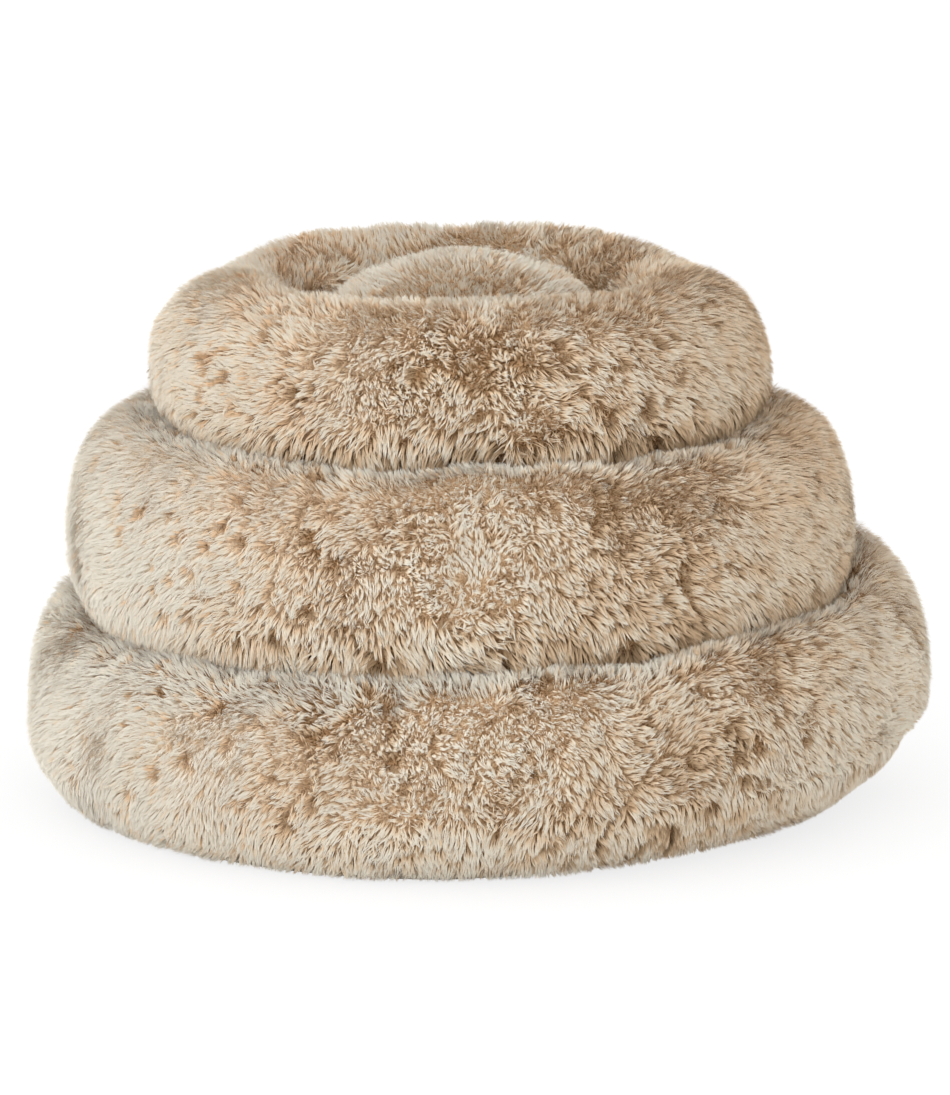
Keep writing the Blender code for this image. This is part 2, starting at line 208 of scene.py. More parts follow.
def fur_material():
    made, nodes, links, shader = new_material("plush_fur", 0.8, sheen=0.06)
    shader.inputs["Sheen Roughness"].default_value = 0.6
    shader.inputs["Sheen Tint"].default_value = (1.0, 0.88, 0.7, 1)
    shader.inputs["Diffuse Roughness"].default_value = 1.0
    shader.inputs["Specular IOR Level"].default_value = 0.05
    where = nodes.new("ShaderNodeUVMap")
    where.uv_map = FUR_MAP
    split = nodes.new("ShaderNodeSeparateXYZ")
    links.new(where.outputs["UV"], split.inputs[0])
    warm = ramp(nodes, WARM_STOPS)
    pale = ramp(nodes, PALE_STOPS)
    links.new(split.outputs["Y"], warm.inputs[0])
    links.new(split.outputs["Y"], pale.inputs[0])
    colour = mix(nodes, links, split.outputs["X"], warm.outputs[0], pale.outputs[0])
    links.new(colour, shader.inputs["Base Color"])
    return made


FUR = fur_material()
print("fur ramps with", len(WARM_STOPS), "stops each")


# %% Backing cloth
# Painted light: the stack gets paler from here to there, in metres across
PAINTED_LIGHT_FROM, PAINTED_LIGHT_TO = -0.04, -0.31
OPEN_OR_SHADED = "open_here"
UNDERCOAT_SCALE = 330
# Deep brown where the fur is open, and painted shade in the creases
DEEP_STOPS = (
    (0.36, (0.085, 0.044, 0.02)),
    (0.50, (0.22, 0.12, 0.055)),
    (0.64, (0.42, 0.26, 0.14)),
)


def backing_material():
    """Short dense undercoat: streaks of brown and tan, paler on the left as painted light, deep brown where
    it is open and, as painted shade, in the creases.
    """
    made, nodes, links, shader = new_material("fur_backing", 0.9)
    shader.inputs["Specular IOR Level"].default_value = 0.0
    where, noise = object_noise(nodes, links, UNDERCOAT_SCALE)
    noise.inputs["Detail"].default_value = 3
    noise.inputs["Distortion"].default_value = 1.2
    warm = ramp(nodes, (
        (0.30, (0.20, 0.115, 0.055)),
        (0.45, (0.42, 0.265, 0.145)),
        (0.58, (0.60, 0.43, 0.27)),
        (0.72, (0.72, 0.57, 0.41)),
    ))
    pale = ramp(nodes, (
        (0.30, (0.46, 0.32, 0.20)),
        (0.50, (0.70, 0.56, 0.41)),
        (0.72, (0.82, 0.74, 0.62)),
    ))
    links.new(noise.outputs["Fac"], warm.inputs[0])
    links.new(noise.outputs["Fac"], pale.inputs[0])
    split = nodes.new("ShaderNodeSeparateXYZ")
    links.new(where.outputs["Object"], split.inputs[0])
    # Painted light: the undercoat is paler on the left, as if lit from the left
    side = nodes.new("ShaderNodeMapRange")
    side.inputs["From Min"].default_value = PAINTED_LIGHT_FROM
    side.inputs["From Max"].default_value = PAINTED_LIGHT_TO
    links.new(split.outputs["X"], side.inputs["Value"])
    colour = mix(nodes, links, side.outputs["Result"], warm.outputs[0], pale.outputs[0])
    open_or_shaded = nodes.new("ShaderNodeAttribute")
    open_or_shaded.attribute_name = OPEN_OR_SHADED
    deep = ramp(nodes, DEEP_STOPS)
    links.new(noise.outputs["Fac"], deep.inputs[0])
    colour = mix(nodes, links, open_or_shaded.outputs["Fac"], colour, deep.outputs[0])
    links.new(colour, shader.inputs["Base Color"])
    bump_from(noise.outputs["Fac"], 1.5 * MM, nodes, links, shader)
    return made


BACKING = backing_material()
print(BACKING.name, "has", len(BACKING.node_tree.nodes), "nodes")


# %% Woven cloth and metal of the base
BASE_PITCH = 1.6 * MM
TAPE_PITCH = 0.7 * MM
METAL_SCALE = 900


def woven_material(name, dark, light, pitch):
    """Two crossed sets of threads at a real pitch, as colour and bump."""
    made, nodes, links, shader = new_material(name, 0.85)
    where = nodes.new("ShaderNodeTexCoord")
    height = None
    for axis in ("X", "Y"):
        wave = nodes.new("ShaderNodeTexWave")
        wave.bands_direction = axis
        # A wave texture repeats every 2 pi / (20 * scale)
        wave.inputs["Scale"].default_value = math.pi / (10 * pitch)
        wave.inputs["Distortion"].default_value = 0.6
        links.new(where.outputs["Object"], wave.inputs["Vector"])
        if height is None:
            height = wave.outputs["Fac"]
        else:
            cross = nodes.new("ShaderNodeMath")
            cross.operation = "MULTIPLY"
            links.new(height, cross.inputs[0])
            links.new(wave.outputs["Fac"], cross.inputs[1])
            height = cross.outputs[0]
    shade = ramp(nodes, ((0.1, dark), (0.8, light)))
    links.new(height, shade.inputs[0])
    links.new(shade.outputs[0], shader.inputs["Base Color"])
    bump_from(height, pitch / 3, nodes, links, shader)
    return made


def metal_material():
    made, nodes, links, shader = new_material("plated_metal", 0.35, metallic=1.0)
    _, noise = object_noise(nodes, links, METAL_SCALE)
    shade = ramp(nodes, ((0.3, (0.42, 0.40, 0.37)), (0.7, (0.62, 0.60, 0.56))))
    links.new(noise.outputs["Fac"], shade.inputs[0])
    links.new(shade.outputs[0], shader.inputs["Base Color"])
    return made


BASE_CLOTH = woven_material("base_weave", (0.20, 0.155, 0.11), (0.40, 0.325, 0.245), BASE_PITCH)
TAPE_CLOTH = woven_material("tape_weave", (0.24, 0.18, 0.12), (0.46, 0.37, 0.27), TAPE_PITCH)
METAL = metal_material()


def dress(node, material):
    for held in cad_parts[node].material_slots:
        held.material = material


for size in SIZES:
    dress(f"{size}_zip_tape_front", TAPE_CLOTH)
    dress(f"{size}_zip_tape_rear", TAPE_CLOTH)
    dress(f"{size}_zip_slider", METAL)
    dress(f"{size}_zip_pull", METAL)
for made in (BASE_CLOTH, TAPE_CLOTH, METAL):
    print(made.name, "has", len(made.node_tree.nodes), "nodes")

# %% [markdown]
# ## Soft skins
# Under the fur is a knitted backing, stretched over the stuffing. A stuffed thing takes its shape from
# what fills it, so each skin starts as a copy of the stuffing, is rebuilt as an even net of small faces,
# and is then blown up a little as cloth. That rounds its edges and gives it slack, uneven lumps.

# %% Copy and remesh
RING_VOXEL = 14 * MM
PAD_VOXEL = 11 * MM
SAME_PLACE = 0.01 * MM


def only(obj):
    bpy.ops.object.select_all(action="DESELECT")
    obj.select_set(True)
    bpy.context.view_layer.objects.active = obj


def copy_of(node, name):
    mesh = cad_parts[node].data.copy()
    mesh.name = name
    made = bpy.data.objects.new(name, mesh)
    bpy.context.scene.collection.objects.link(made)
    mesh.materials.clear()
    mesh.materials.append(BACKING)
    only(made)
    bpy.ops.object.mode_set(mode="EDIT")
    bpy.ops.mesh.select_all(action="SELECT")
    bpy.ops.mesh.remove_doubles(threshold=SAME_PLACE)
    bpy.ops.object.mode_set(mode="OBJECT")
    return made


def vertex_values(obj, field):
    found = np.empty(len(obj.data.vertices) * 3)
    obj.data.vertices.foreach_get(field, found)
    return found.reshape(-1, 3)


def places_of(obj):
    return vertex_values(obj, "co")


def normals_of(obj):
    return vertex_values(obj, "normal")


def set_places(obj, places):
    obj.data.vertices.foreach_set("co", places.ravel())
    obj.data.update()


def apply_all(obj):
    only(obj)
    for modifier in list(obj.modifiers):
        bpy.ops.object.modifier_apply(modifier=modifier.name)


def remesh(obj, voxel):
    modifier = obj.modifiers.new("even_net", "REMESH")
    modifier.mode = "VOXEL"
    modifier.voxel_size = voxel
    apply_all(obj)


print("nets of", round(RING_VOXEL / MM), "mm on the rings and", round(PAD_VOXEL / MM), "mm on the cushions")


# %% Inflate and smooth
PRESSURE = 4.0
SWELL_CAP = 9 * MM
FRAMES = 20
SMOOTHINGS = 3


def inflate(obj):
    """Cloth with air in it, whose moves are capped so that it stays near its stuffing."""
    start = places_of(obj)
    cloth = obj.modifiers.new("inflate", "CLOTH")
    cloth.settings.use_pressure = True
    cloth.settings.uniform_pressure_force = PRESSURE
    cloth.settings.effector_weights.gravity = 0
    cloth.settings.quality = 4
    cloth.point_cache.frame_start = 1
    cloth.point_cache.frame_end = FRAMES
    for number in range(1, FRAMES + 1):
        bpy.context.scene.frame_set(number)
    apply_all(obj)
    bpy.context.scene.frame_set(1)
    moves = places_of(obj) - start
    reach = np.linalg.norm(moves, axis=1, keepdims=True)
    moves *= np.minimum(1, SWELL_CAP / np.maximum(reach, 1e-9))
    set_places(obj, start + moves)


def smooth_net(obj):
    smooth = obj.modifiers.new("smooth", "CORRECTIVE_SMOOTH")
    smooth.use_only_smooth = True
    smooth.iterations = SMOOTHINGS
    rounder = obj.modifiers.new("rounder", "SUBSURF")
    rounder.levels = 1
    rounder.render_levels = 1
    apply_all(obj)
    for face in obj.data.polygons:
        face.use_smooth = True


print("cloth runs for", FRAMES, "frames and moves at most", round(SWELL_CAP / MM), "mm")


# %% Smooth noise
PLANE_WAVES = 7


def waves(points, length, seed, count=PLANE_WAVES):
    """Smooth noise between about -1 and 1, from plane waves of one length and seeded directions."""
    random = np.random.default_rng(seed)
    ways = random.normal(size=(count, 3))
    ways /= np.linalg.norm(ways, axis=1, keepdims=True)
    starts = random.uniform(0, 2 * math.pi, count)
    turns = 2 * math.pi / length * random.uniform(0.7, 1.4, count)
    return np.sin(points @ (ways * turns[:, None]).T + starts).sum(1) / math.sqrt(count / 2) / 1.6


heights = waves(np.linspace(0, 1, 300)[:, None] * np.ones(3), 0.1, 1)
print("the noise runs from", round(float(heights.min()), 2), "to", round(float(heights.max()), 2))


# %% How a skin leaves its stuffing
UNDERCOAT = 12.5 * MM
LUMP_DEPTH = 5 * MM
BROAD_LUMP, FINE_LUMP = 0.22, 0.09
LIP_SINK = 5.5 * MM
LIP_LENGTH = 0.11
BELLY_SWELL = 8 * MM
LEAN_REACH = 25 * MM
FOOT_TUCK_FRONT = 6 * MM
FOOT_TUCK_SIDE = 26 * MM
FOOT_TUCK_RIGHT = 22 * MM
FOOT_TUCK_CORNER = 11 * MM
TUCK_HEIGHT = 75 * MM
TUCK_POWER = 1.8
BASE_FLAT = 70 * MM
BASE_SLOPE = 30 * MM
# The outer wall of a ring starts this far out of its well, and its seat this far above its base
OUTER_FROM = 0.05
SEAT_FROM = 0.06
ZIP_REACH = 18 * MM
ZIP_CLEAR = 1 * MM
CLOTH_CLEAR = 3.5 * MM
# A push on the skin of a ring: place in metres, reach in metres, move in mm
PUSHES = {
    "large": (
        ((-0.41, 0.05, 0.20), 0.08, (-16, 0, 23)),
        ((0.385, 0.1, 0.22), 0.08, (0, 0, 25)),
        ((0.42, 0.0, 0.07), 0.08, (13, 0, -9)),
    ),
    "medium": (
        ((-0.36, 0.0, 0.37), 0.09, (-3, 0, 9)),
        ((0.33, 0.05, 0.37), 0.09, (4, 0, 15)),
    ),
    "small": (
        ((-0.26, 0.08, 0.54), 0.09, (0, 0, -17)),
        ((0.24, 0.08, 0.54), 0.09, (0, 0, -17)),
    ),
}


def from_axis(places, size, centre="axis"):
    return np.hypot(places[:, 0] - BED[size][centre], places[:, 1])


def round_next(places, size):
    """1 from the foot of the bed above out to its belly, falling to 0 a little further out."""
    if size not in ABOVE:
        return np.zeros(len(places))
    over = BED[ABOVE[size]]
    away = from_axis(places, ABOVE[size])
    outside = np.clip((away - over["foot"]) / (8 * MM), 0, 1)
    high = places[:, 2] > BED[size]["base"] + SEAT_FROM
    return outside * np.clip(1 - (away - over["radius"]) / LEAN_REACH, 0, 1) * high


def hanging(places, normals, size):
    """1 on the lower belly of a ring, where the surface faces down, and 0 elsewhere."""
    bed = BED[size]
    outer = from_axis(places, size) > bed["well"] + OUTER_FROM
    low = places[:, 2] < bed["base"] + TUCK_HEIGHT
    return np.clip(-normals[:, 2] * 1.6, 0, 1) * outer * low


def foot_tuck(out_x, size):
    """How far the foot of the large bed is drawn in, most at its two sides."""
    if size != "large":
        return np.zeros(len(out_x))
    right = np.clip(out_x, 0, 1)
    corner = 4 * FOOT_TUCK_CORNER * right * (1 - right)
    return FOOT_TUCK_FRONT + FOOT_TUCK_SIDE * out_x**2 + FOOT_TUCK_RIGHT * right + corner


def lowest(places, size):
    """The height of the base cloth under each place. It rises in the middle to clear the zip."""
    bed = BED[size]
    rise = (bed["foot"] - BASE_FLAT - from_axis(places, size, "foot_axis")) / BASE_SLOPE
    slider_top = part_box(f"{size}_zip_slider")[1][2]
    tape_low, tape_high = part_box(f"{size}_zip_tape_front")
    along_tape = (places[:, 0] > tape_low[0]) & (places[:, 0] < tape_high[0])
    near_zip = (np.abs(places[:, 1]) < ZIP_REACH) & along_tape
    flat = bed["base"] + CLOTH_CLEAR
    height = flat + (bed["cloth_top"] + ZIP_CLEAR - flat) * np.clip(rise, 0, 1)
    return np.where(near_zip, slider_top + ZIP_CLEAR, height)


for out_x in (-1, 0, 1):
    drawn_in = foot_tuck(np.array([out_x]), "large")[0] / MM
    print("at", out_x, "of its radius the large foot is drawn in", round(float(drawn_in)), "mm")


# %% Swell and settle
def settle(obj, size):
    places = places_of(obj)
    places[:, 2] = np.maximum(places[:, 2], lowest(places, size))
    set_places(obj, places)


def swell_skin(obj, size, part, seed):
    places, normals = places_of(obj), normals_of(obj)
    lumps = 0.65 * waves(places, BROAD_LUMP, seed) + 0.35 * waves(places, FINE_LUMP, seed + 1)
    swell = UNDERCOAT + lumps * LUMP_DEPTH
    swell -= LIP_SINK * (1 + 0.4 * waves(places, LIP_LENGTH, seed + 2)) * round_next(places, size)
    if size != "large":
        swell += BELLY_SWELL * hanging(places, normals, size)
    swell *= np.clip((normals[:, 2] + 0.95) / 0.35, 0, 1)
    places += normals * swell[:, None]
    if part == "bolster":
        for centre, reach, move in PUSHES[size]:
            pull = np.exp(-(np.linalg.norm(places - centre, axis=1) / reach) ** 2)
            places += pull[:, None] * np.array(move) * MM
        out = places[:, :2] - np.array([BED[size]["foot_axis"], 0])
        away = np.maximum(np.linalg.norm(out, axis=1, keepdims=True), 1 * MM)
        low = np.clip(1 - (places[:, 2] - BED[size]["base"]) / TUCK_HEIGHT, 0, 1) ** TUCK_POWER
        outer = away[:, 0] > BED[size]["well"] + OUTER_FROM
        tuck = foot_tuck(out[:, 0] / away[:, 0], size) * low * outer
        places[:, :2] -= out / away * tuck[:, None]
    set_places(obj, places)


# %% The six skins
def skin(size, part, voxel, seed):
    made = copy_of(f"{size}_{part}_insert", f"{size}_{part}_skin")
    remesh(made, voxel)
    inflate(made)
    swell_skin(made, size, part, seed)
    smooth_net(made)
    settle(made, size)
    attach(made, f"{size}_bed")
    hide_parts(f"{size}_{part}_insert")
    print(made.name, len(made.data.polygons), "faces")
    return made


SKINS = {}
for number, size in enumerate(SIZES):
    SKINS[size, "bolster"] = skin(size, "bolster", RING_VOXEL, 10 + number)
    SKINS[size, "cushion"] = skin(size, "cushion", PAD_VOXEL, 20 + number)

# %% [markdown]
# ## Marks that the picture shows
# No two of these beds look alike. Handling leaves hollows, pits where the fur parts down to its brown
# roots, rough dark patches and smooth pale ones. They are listed by where the picture shows them,
# with a size in mm and a strength. The dents are pressed into the skins first, and the others
# then land on the dented skins and steer the fur that grows there.

# %% Landing a mark on a skin
def tree_of(obj):
    """The faces of a mesh, sorted so that a line or a nearest point finds them quickly."""
    faces = [tuple(face.vertices) for face in obj.data.polygons]
    return BVHTree.FromPolygons([vertex.co for vertex in obj.data.vertices], faces)


def land(marks):
    """Finds the skin that each mark is seen on: a list of (place, radius, strength) for each skin."""
    trees = {key: tree_of(obj) for key, obj in SKINS.items()}
    landed = {key: [] for key in SKINS}
    for across, down, radius, strength in marks:
        nearest_hit = None
        for key, tree in trees.items():
            place, _, _, distance = tree.ray_cast(Vector(STAND), sight(across, down))
            if place is not None and (nearest_hit is None or distance < nearest_hit[0]):
                nearest_hit = (distance, key, np.array(place))
        if nearest_hit is not None:
            landed[nearest_hit[1]].append((nearest_hit[2], radius * MM, strength))
    return landed


def felt(places, marks):
    """The sum of the marks' strengths at each place, each fading over its radius."""
    total = np.zeros(len(places))
    for place, radius, strength in marks:
        total += strength * np.exp(-(np.linalg.norm(places - place, axis=1) / radius) ** 2)
    return total


middle_way = sight(PICTURE_WIDTH / 2, PICTURE_HEIGHT / 2)
print("the middle of the picture is seen along", [round(value, 3) for value in middle_way])


# %% Dents and bulges
# Across and down in the picture, radius in mm, height in mm
DENTS = (
    (230, 378, 18, -5), (298, 392, 18, -5), (400, 370, 22, -6), (478, 376, 26, -6), (570, 372, 20, -5),
    (642, 405, 18, -4), (484, 456, 22, -9), (440, 325, 36, 4), (350, 420, 45, 4), (600, 330, 45, 4),
    (312, 540, 24, -7), (326, 585, 24, -6), (318, 622, 24, -5), (146, 505, 24, -4), (415, 535, 22, -4),
    (430, 478, 20, -4), (210, 490, 60, 4), (430, 600, 60, 4), (600, 560, 80, 3), (505, 490, 34, 4),
    (386, 704, 20, -6), (396, 755, 24, -8), (403, 792, 20, -6), (735, 755, 24, -6), (716, 795, 22, -4),
    (312, 735, 24, -5), (160, 690, 24, -4), (470, 740, 60, 4), (610, 730, 80, 3), (240, 745, 50, 4),
)


def press_dents():
    landed = land(DENTS)
    for key, marks in landed.items():
        if marks:
            places = places_of(SKINS[key])
            height = felt(places, [(place, radius, strength * MM) for place, radius, strength in marks])
            set_places(SKINS[key], places + normals_of(SKINS[key]) * height[:, None])
    return sum(len(marks) for marks in landed.values())


print(press_dents(), "of", len(DENTS), "dents pressed")

# %% Patches
# Rough and brown below zero, smooth and pale above it
PATCHES = (
    (175, 330, 45, -0.6), (250, 300, 35, -0.4), (330, 340, 35, 0.1), (180, 400, 35, -0.35),
    (600, 330, 45, 0.6), (560, 300, 30, 0.5), (700, 330, 50, 0.5), (740, 380, 40, 0.5),
    (440, 350, 38, -0.8), (490, 362, 34, -0.9), (530, 372, 28, -0.7), (400, 402, 45, -0.5),
    (470, 420, 45, -0.5), (300, 402, 38, -0.3), (600, 410, 40, -0.3), (560, 435, 45, -0.3),
    (480, 455, 20, -0.8), (652, 442, 20, -0.6), (300, 268, 28, -0.7), (340, 292, 24, 0.6),
    (380, 270, 30, 0.4), (505, 290, 34, -0.3), (640, 250, 36, 0.3), (480, 262, 24, 0.2),
    (100, 480, 60, 0.9), (110, 570, 55, 0.9), (200, 480, 40, 0.4), (245, 462, 28, 0.6),
    (220, 560, 40, 0.2), (180, 592, 30, 0.5), (316, 545, 25, -0.6), (328, 592, 30, -0.8),
    (400, 540, 50, -0.4), (385, 620, 40, -0.3), (412, 482, 18, -0.3), (500, 482, 35, 0.6),
    (458, 492, 18, 0.6), (600, 600, 50, -0.4), (680, 562, 40, -0.3), (540, 640, 50, -0.4),
    (790, 450, 50, 0.6), (820, 540, 50, 0.6), (740, 602, 36, 0.4), (690, 480, 50, 0.2),
    (50, 680, 60, 0.9), (70, 760, 55, 0.8), (110, 620, 40, 0.6), (250, 702, 30, 0.4),
    (215, 770, 40, 0.4), (330, 690, 18, 0.7), (346, 725, 25, -0.6), (318, 740, 24, -0.6),
    (400, 742, 30, -0.4), (440, 702, 36, 0.5), (520, 740, 40, 0.3), (480, 800, 50, 0.2),
    (600, 690, 60, 0.4), (665, 700, 50, 0.3), (725, 740, 30, -0.5), (660, 765, 36, -0.3),
    (880, 640, 50, 0.5), (870, 740, 60, 0.8), (780, 800, 60, 0.6), (700, 650, 46, 0.4),
)
TONES = land(PATCHES)
print(sum(len(marks) for marks in TONES.values()), "of", len(PATCHES), "patches landed")

# %% Pits
PITS_SEEN = (
    (210, 362, 10, 0.7), (230, 376, 6, 1), (299, 392, 6, 1), (270, 341, 6, 0.6), (207, 394, 8, 0.6),
    (238, 407, 7, 0.5), (246, 282, 11, 0.5), (279, 276, 6, 0.7), (309, 299, 9, 0.9), (395, 317, 8, 0.6),
    (393, 366, 6, 0.9), (420, 376, 6, 1), (344, 366, 5, 0.7), (391, 466, 7, 0.8), (454, 452, 8, 0.4),
    (478, 376, 12, 1), (521, 364, 8, 1), (570, 370, 6, 0.9), (590, 366, 5, 0.8), (556, 348, 7, 0.7),
    (617, 366, 6, 0.7), (642, 403, 8, 0.9), (607, 415, 6, 0.7), (480, 450, 8, 0.7), (503, 456, 7, 0.8),
    (654, 440, 9, 0.9), (643, 452, 8, 0.8), (695, 311, 4, 0.7), (668, 337, 6, 0.6), (652, 346, 5, 0.6),
    (676, 376, 7, 0.6), (662, 399, 6, 0.6), (478, 284, 6, 0.6), (517, 282, 6, 0.5), (617, 274, 6, 0.5),
    (101, 461, 8, 0.6), (124, 497, 5, 0.6), (121, 511, 9, 0.5), (126, 532, 8, 0.6), (146, 509, 8, 0.8),
    (157, 497, 3, 1), (146, 407, 14, 0.5), (149, 429, 11, 0.6), (176, 439, 8, 0.7), (181, 539, 7, 0.7),
    (210, 545, 7, 0.7), (221, 529, 6, 0.7), (241, 540, 6, 1), (253, 523, 5, 0.5), (242, 504, 6, 0.5),
    (283, 470, 5, 0.9), (301, 471, 7, 0.6), (310, 537, 7, 1), (330, 516, 5, 0.9), (315, 552, 8, 0.9),
    (335, 566, 8, 0.9), (310, 609, 7, 0.9), (271, 550, 6, 0.6), (242, 582, 6, 0.8), (192, 570, 7, 0.8),
    (158, 562, 4, 0.8), (174, 577, 6, 0.7), (167, 609, 6, 0.6), (194, 612, 6, 0.6), (133, 595, 5, 0.4),
    (413, 533, 7, 0.9), (505, 580, 5, 0.8), (679, 581, 7, 0.8), (723, 562, 4, 0.7), (432, 474, 7, 0.9),
    (367, 669, 9, 0.9), (381, 657, 9, 0.7), (407, 672, 7, 0.7), (443, 675, 7, 0.9), (464, 669, 8, 0.9),
    (492, 677, 8, 0.9), (581, 657, 7, 0.9), (626, 643, 8, 1), (750, 627, 8, 1), (794, 617, 8, 1),
    (820, 603, 9, 1), (843, 601, 7, 0.8), (851, 577, 8, 0.7), (812, 647, 5, 0.8), (778, 643, 4, 0.8),
    (369, 697, 8, 0.9), (387, 708, 6, 0.9), (391, 732, 6, 0.8), (395, 764, 8, 1), (404, 784, 6, 0.9),
    (334, 754, 5, 0.9), (516, 711, 6, 0.7), (535, 776, 5, 1), (545, 685, 6, 0.6), (389, 816, 6, 0.6),
    (559, 813, 6, 0.5), (547, 839, 6, 0.5), (677, 682, 6, 0.5), (770, 690, 6, 0.5), (758, 745, 8, 0.9),
    (734, 755, 8, 0.8), (723, 729, 7, 0.7), (742, 777, 5, 0.7), (709, 802, 7, 0.8), (803, 737, 6, 0.5),
    (125, 668, 4, 1), (135, 694, 4, 0.9), (105, 659, 11, 0.5), (141, 655, 8, 0.8), (142, 639, 7, 0.9),
    (166, 669, 7, 0.7), (166, 696, 5, 1), (152, 706, 4, 0.8), (230, 669, 7, 0.8), (294, 661, 8, 1),
    (277, 634, 6, 0.8), (239, 633, 6, 0.6), (223, 708, 4, 0.9), (233, 686, 6, 0.6), (188, 758, 7, 0.9),
    (160, 775, 7, 0.8), (131, 791, 5, 0.6), (229, 744, 6, 0.6), (279, 779, 5, 0.8), (312, 738, 7, 0.9),
    (316, 724, 5, 0.8), (271, 801, 6, 0.5), (293, 821, 8, 0.6), (314, 803, 6, 0.6),
)
PITS_LANDED = land(PITS_SEEN)
print(sum(len(marks) for marks in PITS_LANDED.values()), "of", len(PITS_SEEN), "pits landed")

# %% [markdown]
# ## The base cloth
# Each bed stands on a disc of woven cloth, sewn to the plush at the foot seam, flat under the ring and
# lifted in the middle, where a zip crosses it. It could be a plain cylinder, but a disc that is inset
# ring by ring takes the lift and the slack of the cloth, and the zip's slot is cut out at the end.

# %% Disc and rings
CLOTH_SIDES = 96
CLOTH_THICKNESS = 2.2 * MM
CLOTH_TUCK = 9 * MM
CLOTH_SLACK = 0.5 * MM
SLACK_LENGTH = 0.05
CLOTH_OFF_SEAT = 0.4 * MM
CLOTH_HEM = (12 * MM, 20 * MM)
CLOTH_MIDDLE = 30 * MM


def base_cloth(size):
    bed = BED[size]
    lift = bed["cloth_top"] - bed["base"] - 3 * MM
    bpy.ops.object.select_all(action="DESELECT")
    bpy.ops.mesh.primitive_circle_add(
        vertices=CLOTH_SIDES, radius=bed["foot"] - CLOTH_TUCK, fill_type="NGON",
        location=(bed["foot_axis"], 0, bed["base"] + CLOTH_OFF_SEAT),
    )
    made = bpy.context.object
    made.name = f"{size}_base_cloth"
    bpy.ops.object.mode_set(mode="EDIT")
    bpy.ops.mesh.select_all(action="SELECT")
    # Flat rings in to where the slope starts, with 41 mm for the tuck and hem, two rings up the slope,
    # and one in the middle
    flat = [(width, 0) for width in (*CLOTH_HEM, BASE_FLAT - 41 * MM)]
    slope = [(BASE_SLOPE / 2, lift / 2)] * 2
    for width, rise in flat + slope + [(CLOTH_MIDDLE, 0)]:
        bpy.ops.mesh.inset(thickness=width, depth=rise)
    bpy.ops.object.mode_set(mode="OBJECT")
    bpy.ops.object.transform_apply(location=True, rotation=True, scale=True)
    places = places_of(made)
    out = places[:, :2] - np.array([bed["foot_axis"], 0])
    away = np.linalg.norm(out, axis=1, keepdims=True)
    edge = (away / (bed["foot"] - CLOTH_TUCK)) ** 4
    places[:, :2] -= out / away * foot_tuck(out[:, 0] / away[:, 0], size)[:, None] * edge
    places[:, 2] += CLOTH_SLACK * (1 + waves(places, SLACK_LENGTH, 5)) * (1 - edge[:, 0]) * 0.5
    set_places(made, places)
    return made


print("the cloth is a disc of", CLOTH_SIDES, "sides,", round(CLOTH_THICKNESS / MM, 1), "mm thick")


# %% Cut the slot
SLOT_WIDTH = 14 * MM
SLOT_SHORTER = 12 * MM
CUTTER_HEIGHT = 30 * MM
EDGE_ROUND = 0.5 * MM
SHARP_EDGE = math.radians(60)


def cut_slot(made, size):
    low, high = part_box(f"{size}_zip_tape_front")
    middle = (low + high) / 2
    bpy.ops.object.select_all(action="DESELECT")
    bpy.ops.mesh.primitive_cube_add(size=1, location=(middle[0], 0, low[2]))
    cutter = bpy.context.object
    cutter.scale = (high[0] - low[0] - SLOT_SHORTER, SLOT_WIDTH, CUTTER_HEIGHT)
    bpy.ops.object.transform_apply(location=True, rotation=True, scale=True)
    wall = made.modifiers.new("wall", "SOLIDIFY")
    wall.thickness = CLOTH_THICKNESS
    wall.offset = 1
    slot = made.modifiers.new("slot", "BOOLEAN")
    slot.object = cutter
    edge = made.modifiers.new("edge", "BEVEL")
    edge.width = EDGE_ROUND
    edge.segments = 2
    edge.limit_method = "ANGLE"
    edge.angle_limit = SHARP_EDGE
    apply_all(made)
    bpy.data.objects.remove(cutter)


for size in SIZES:
    cloth = base_cloth(size)
    cut_slot(cloth, size)
    cloth.data.materials.clear()
    cloth.data.materials.append(BASE_CLOTH)
    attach(cloth, f"{size}_bed")
    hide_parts(f"{size}_base_panel")
    print(cloth.name, len(cloth.data.polygons), "faces")

# %% [markdown]
# ## Fur
# Over a dense undercoat the pile stands free for about 15 mm. Blender can comb real hair curves, but hair
# isn't a mesh, and this model has to leave Blender as one, so the strands are thin tapered ribbons made
# in bulk with numpy.
# Strands don't stand alone: a handful lean together into a lock that ends in one point, and that is what
# makes plush look like plush. So locks are scattered first, each with its own lean, and every strand
# bends towards the middle of its nearest lock.

# %% Scatter roots on a skin
def unit(vectors):
    return vectors / np.maximum(np.linalg.norm(vectors, axis=1, keepdims=True), 1e-9)


def scatter(obj, crowd, seed):
    """Random roots on a skin, crowd(places, normals) of them to a square metre, with their normals."""
    random = np.random.default_rng(seed)
    obj.data.calc_loop_triangles()
    corners = np.empty(len(obj.data.loop_triangles) * 3, np.int32)
    obj.data.loop_triangles.foreach_get("vertices", corners)
    corners = corners.reshape(-1, 3)
    places, normals = places_of(obj)[corners], normals_of(obj)[corners]
    across = np.cross(places[:, 1] - places[:, 0], places[:, 2] - places[:, 0])
    area = np.linalg.norm(across, axis=1) / 2
    wanted = area * crowd(places.mean(1), unit(normals.mean(1)))
    count = int(wanted.sum())
    face = random.choice(len(wanted), count, p=wanted / wanted.sum())
    first, second = np.sqrt(random.random(count)), random.random(count)
    weights = np.stack([1 - first, first * (1 - second), first * second], 1)[:, :, None]
    return (places[face] * weights).sum(1), unit((normals[face] * weights).sum(1))


spread = scatter(SKINS["small", "cushion"], lambda where, facing: np.full(len(where), 1000), 1)[0]
print("at 1000 to a square metre the small cushion gets", len(spread), "roots")


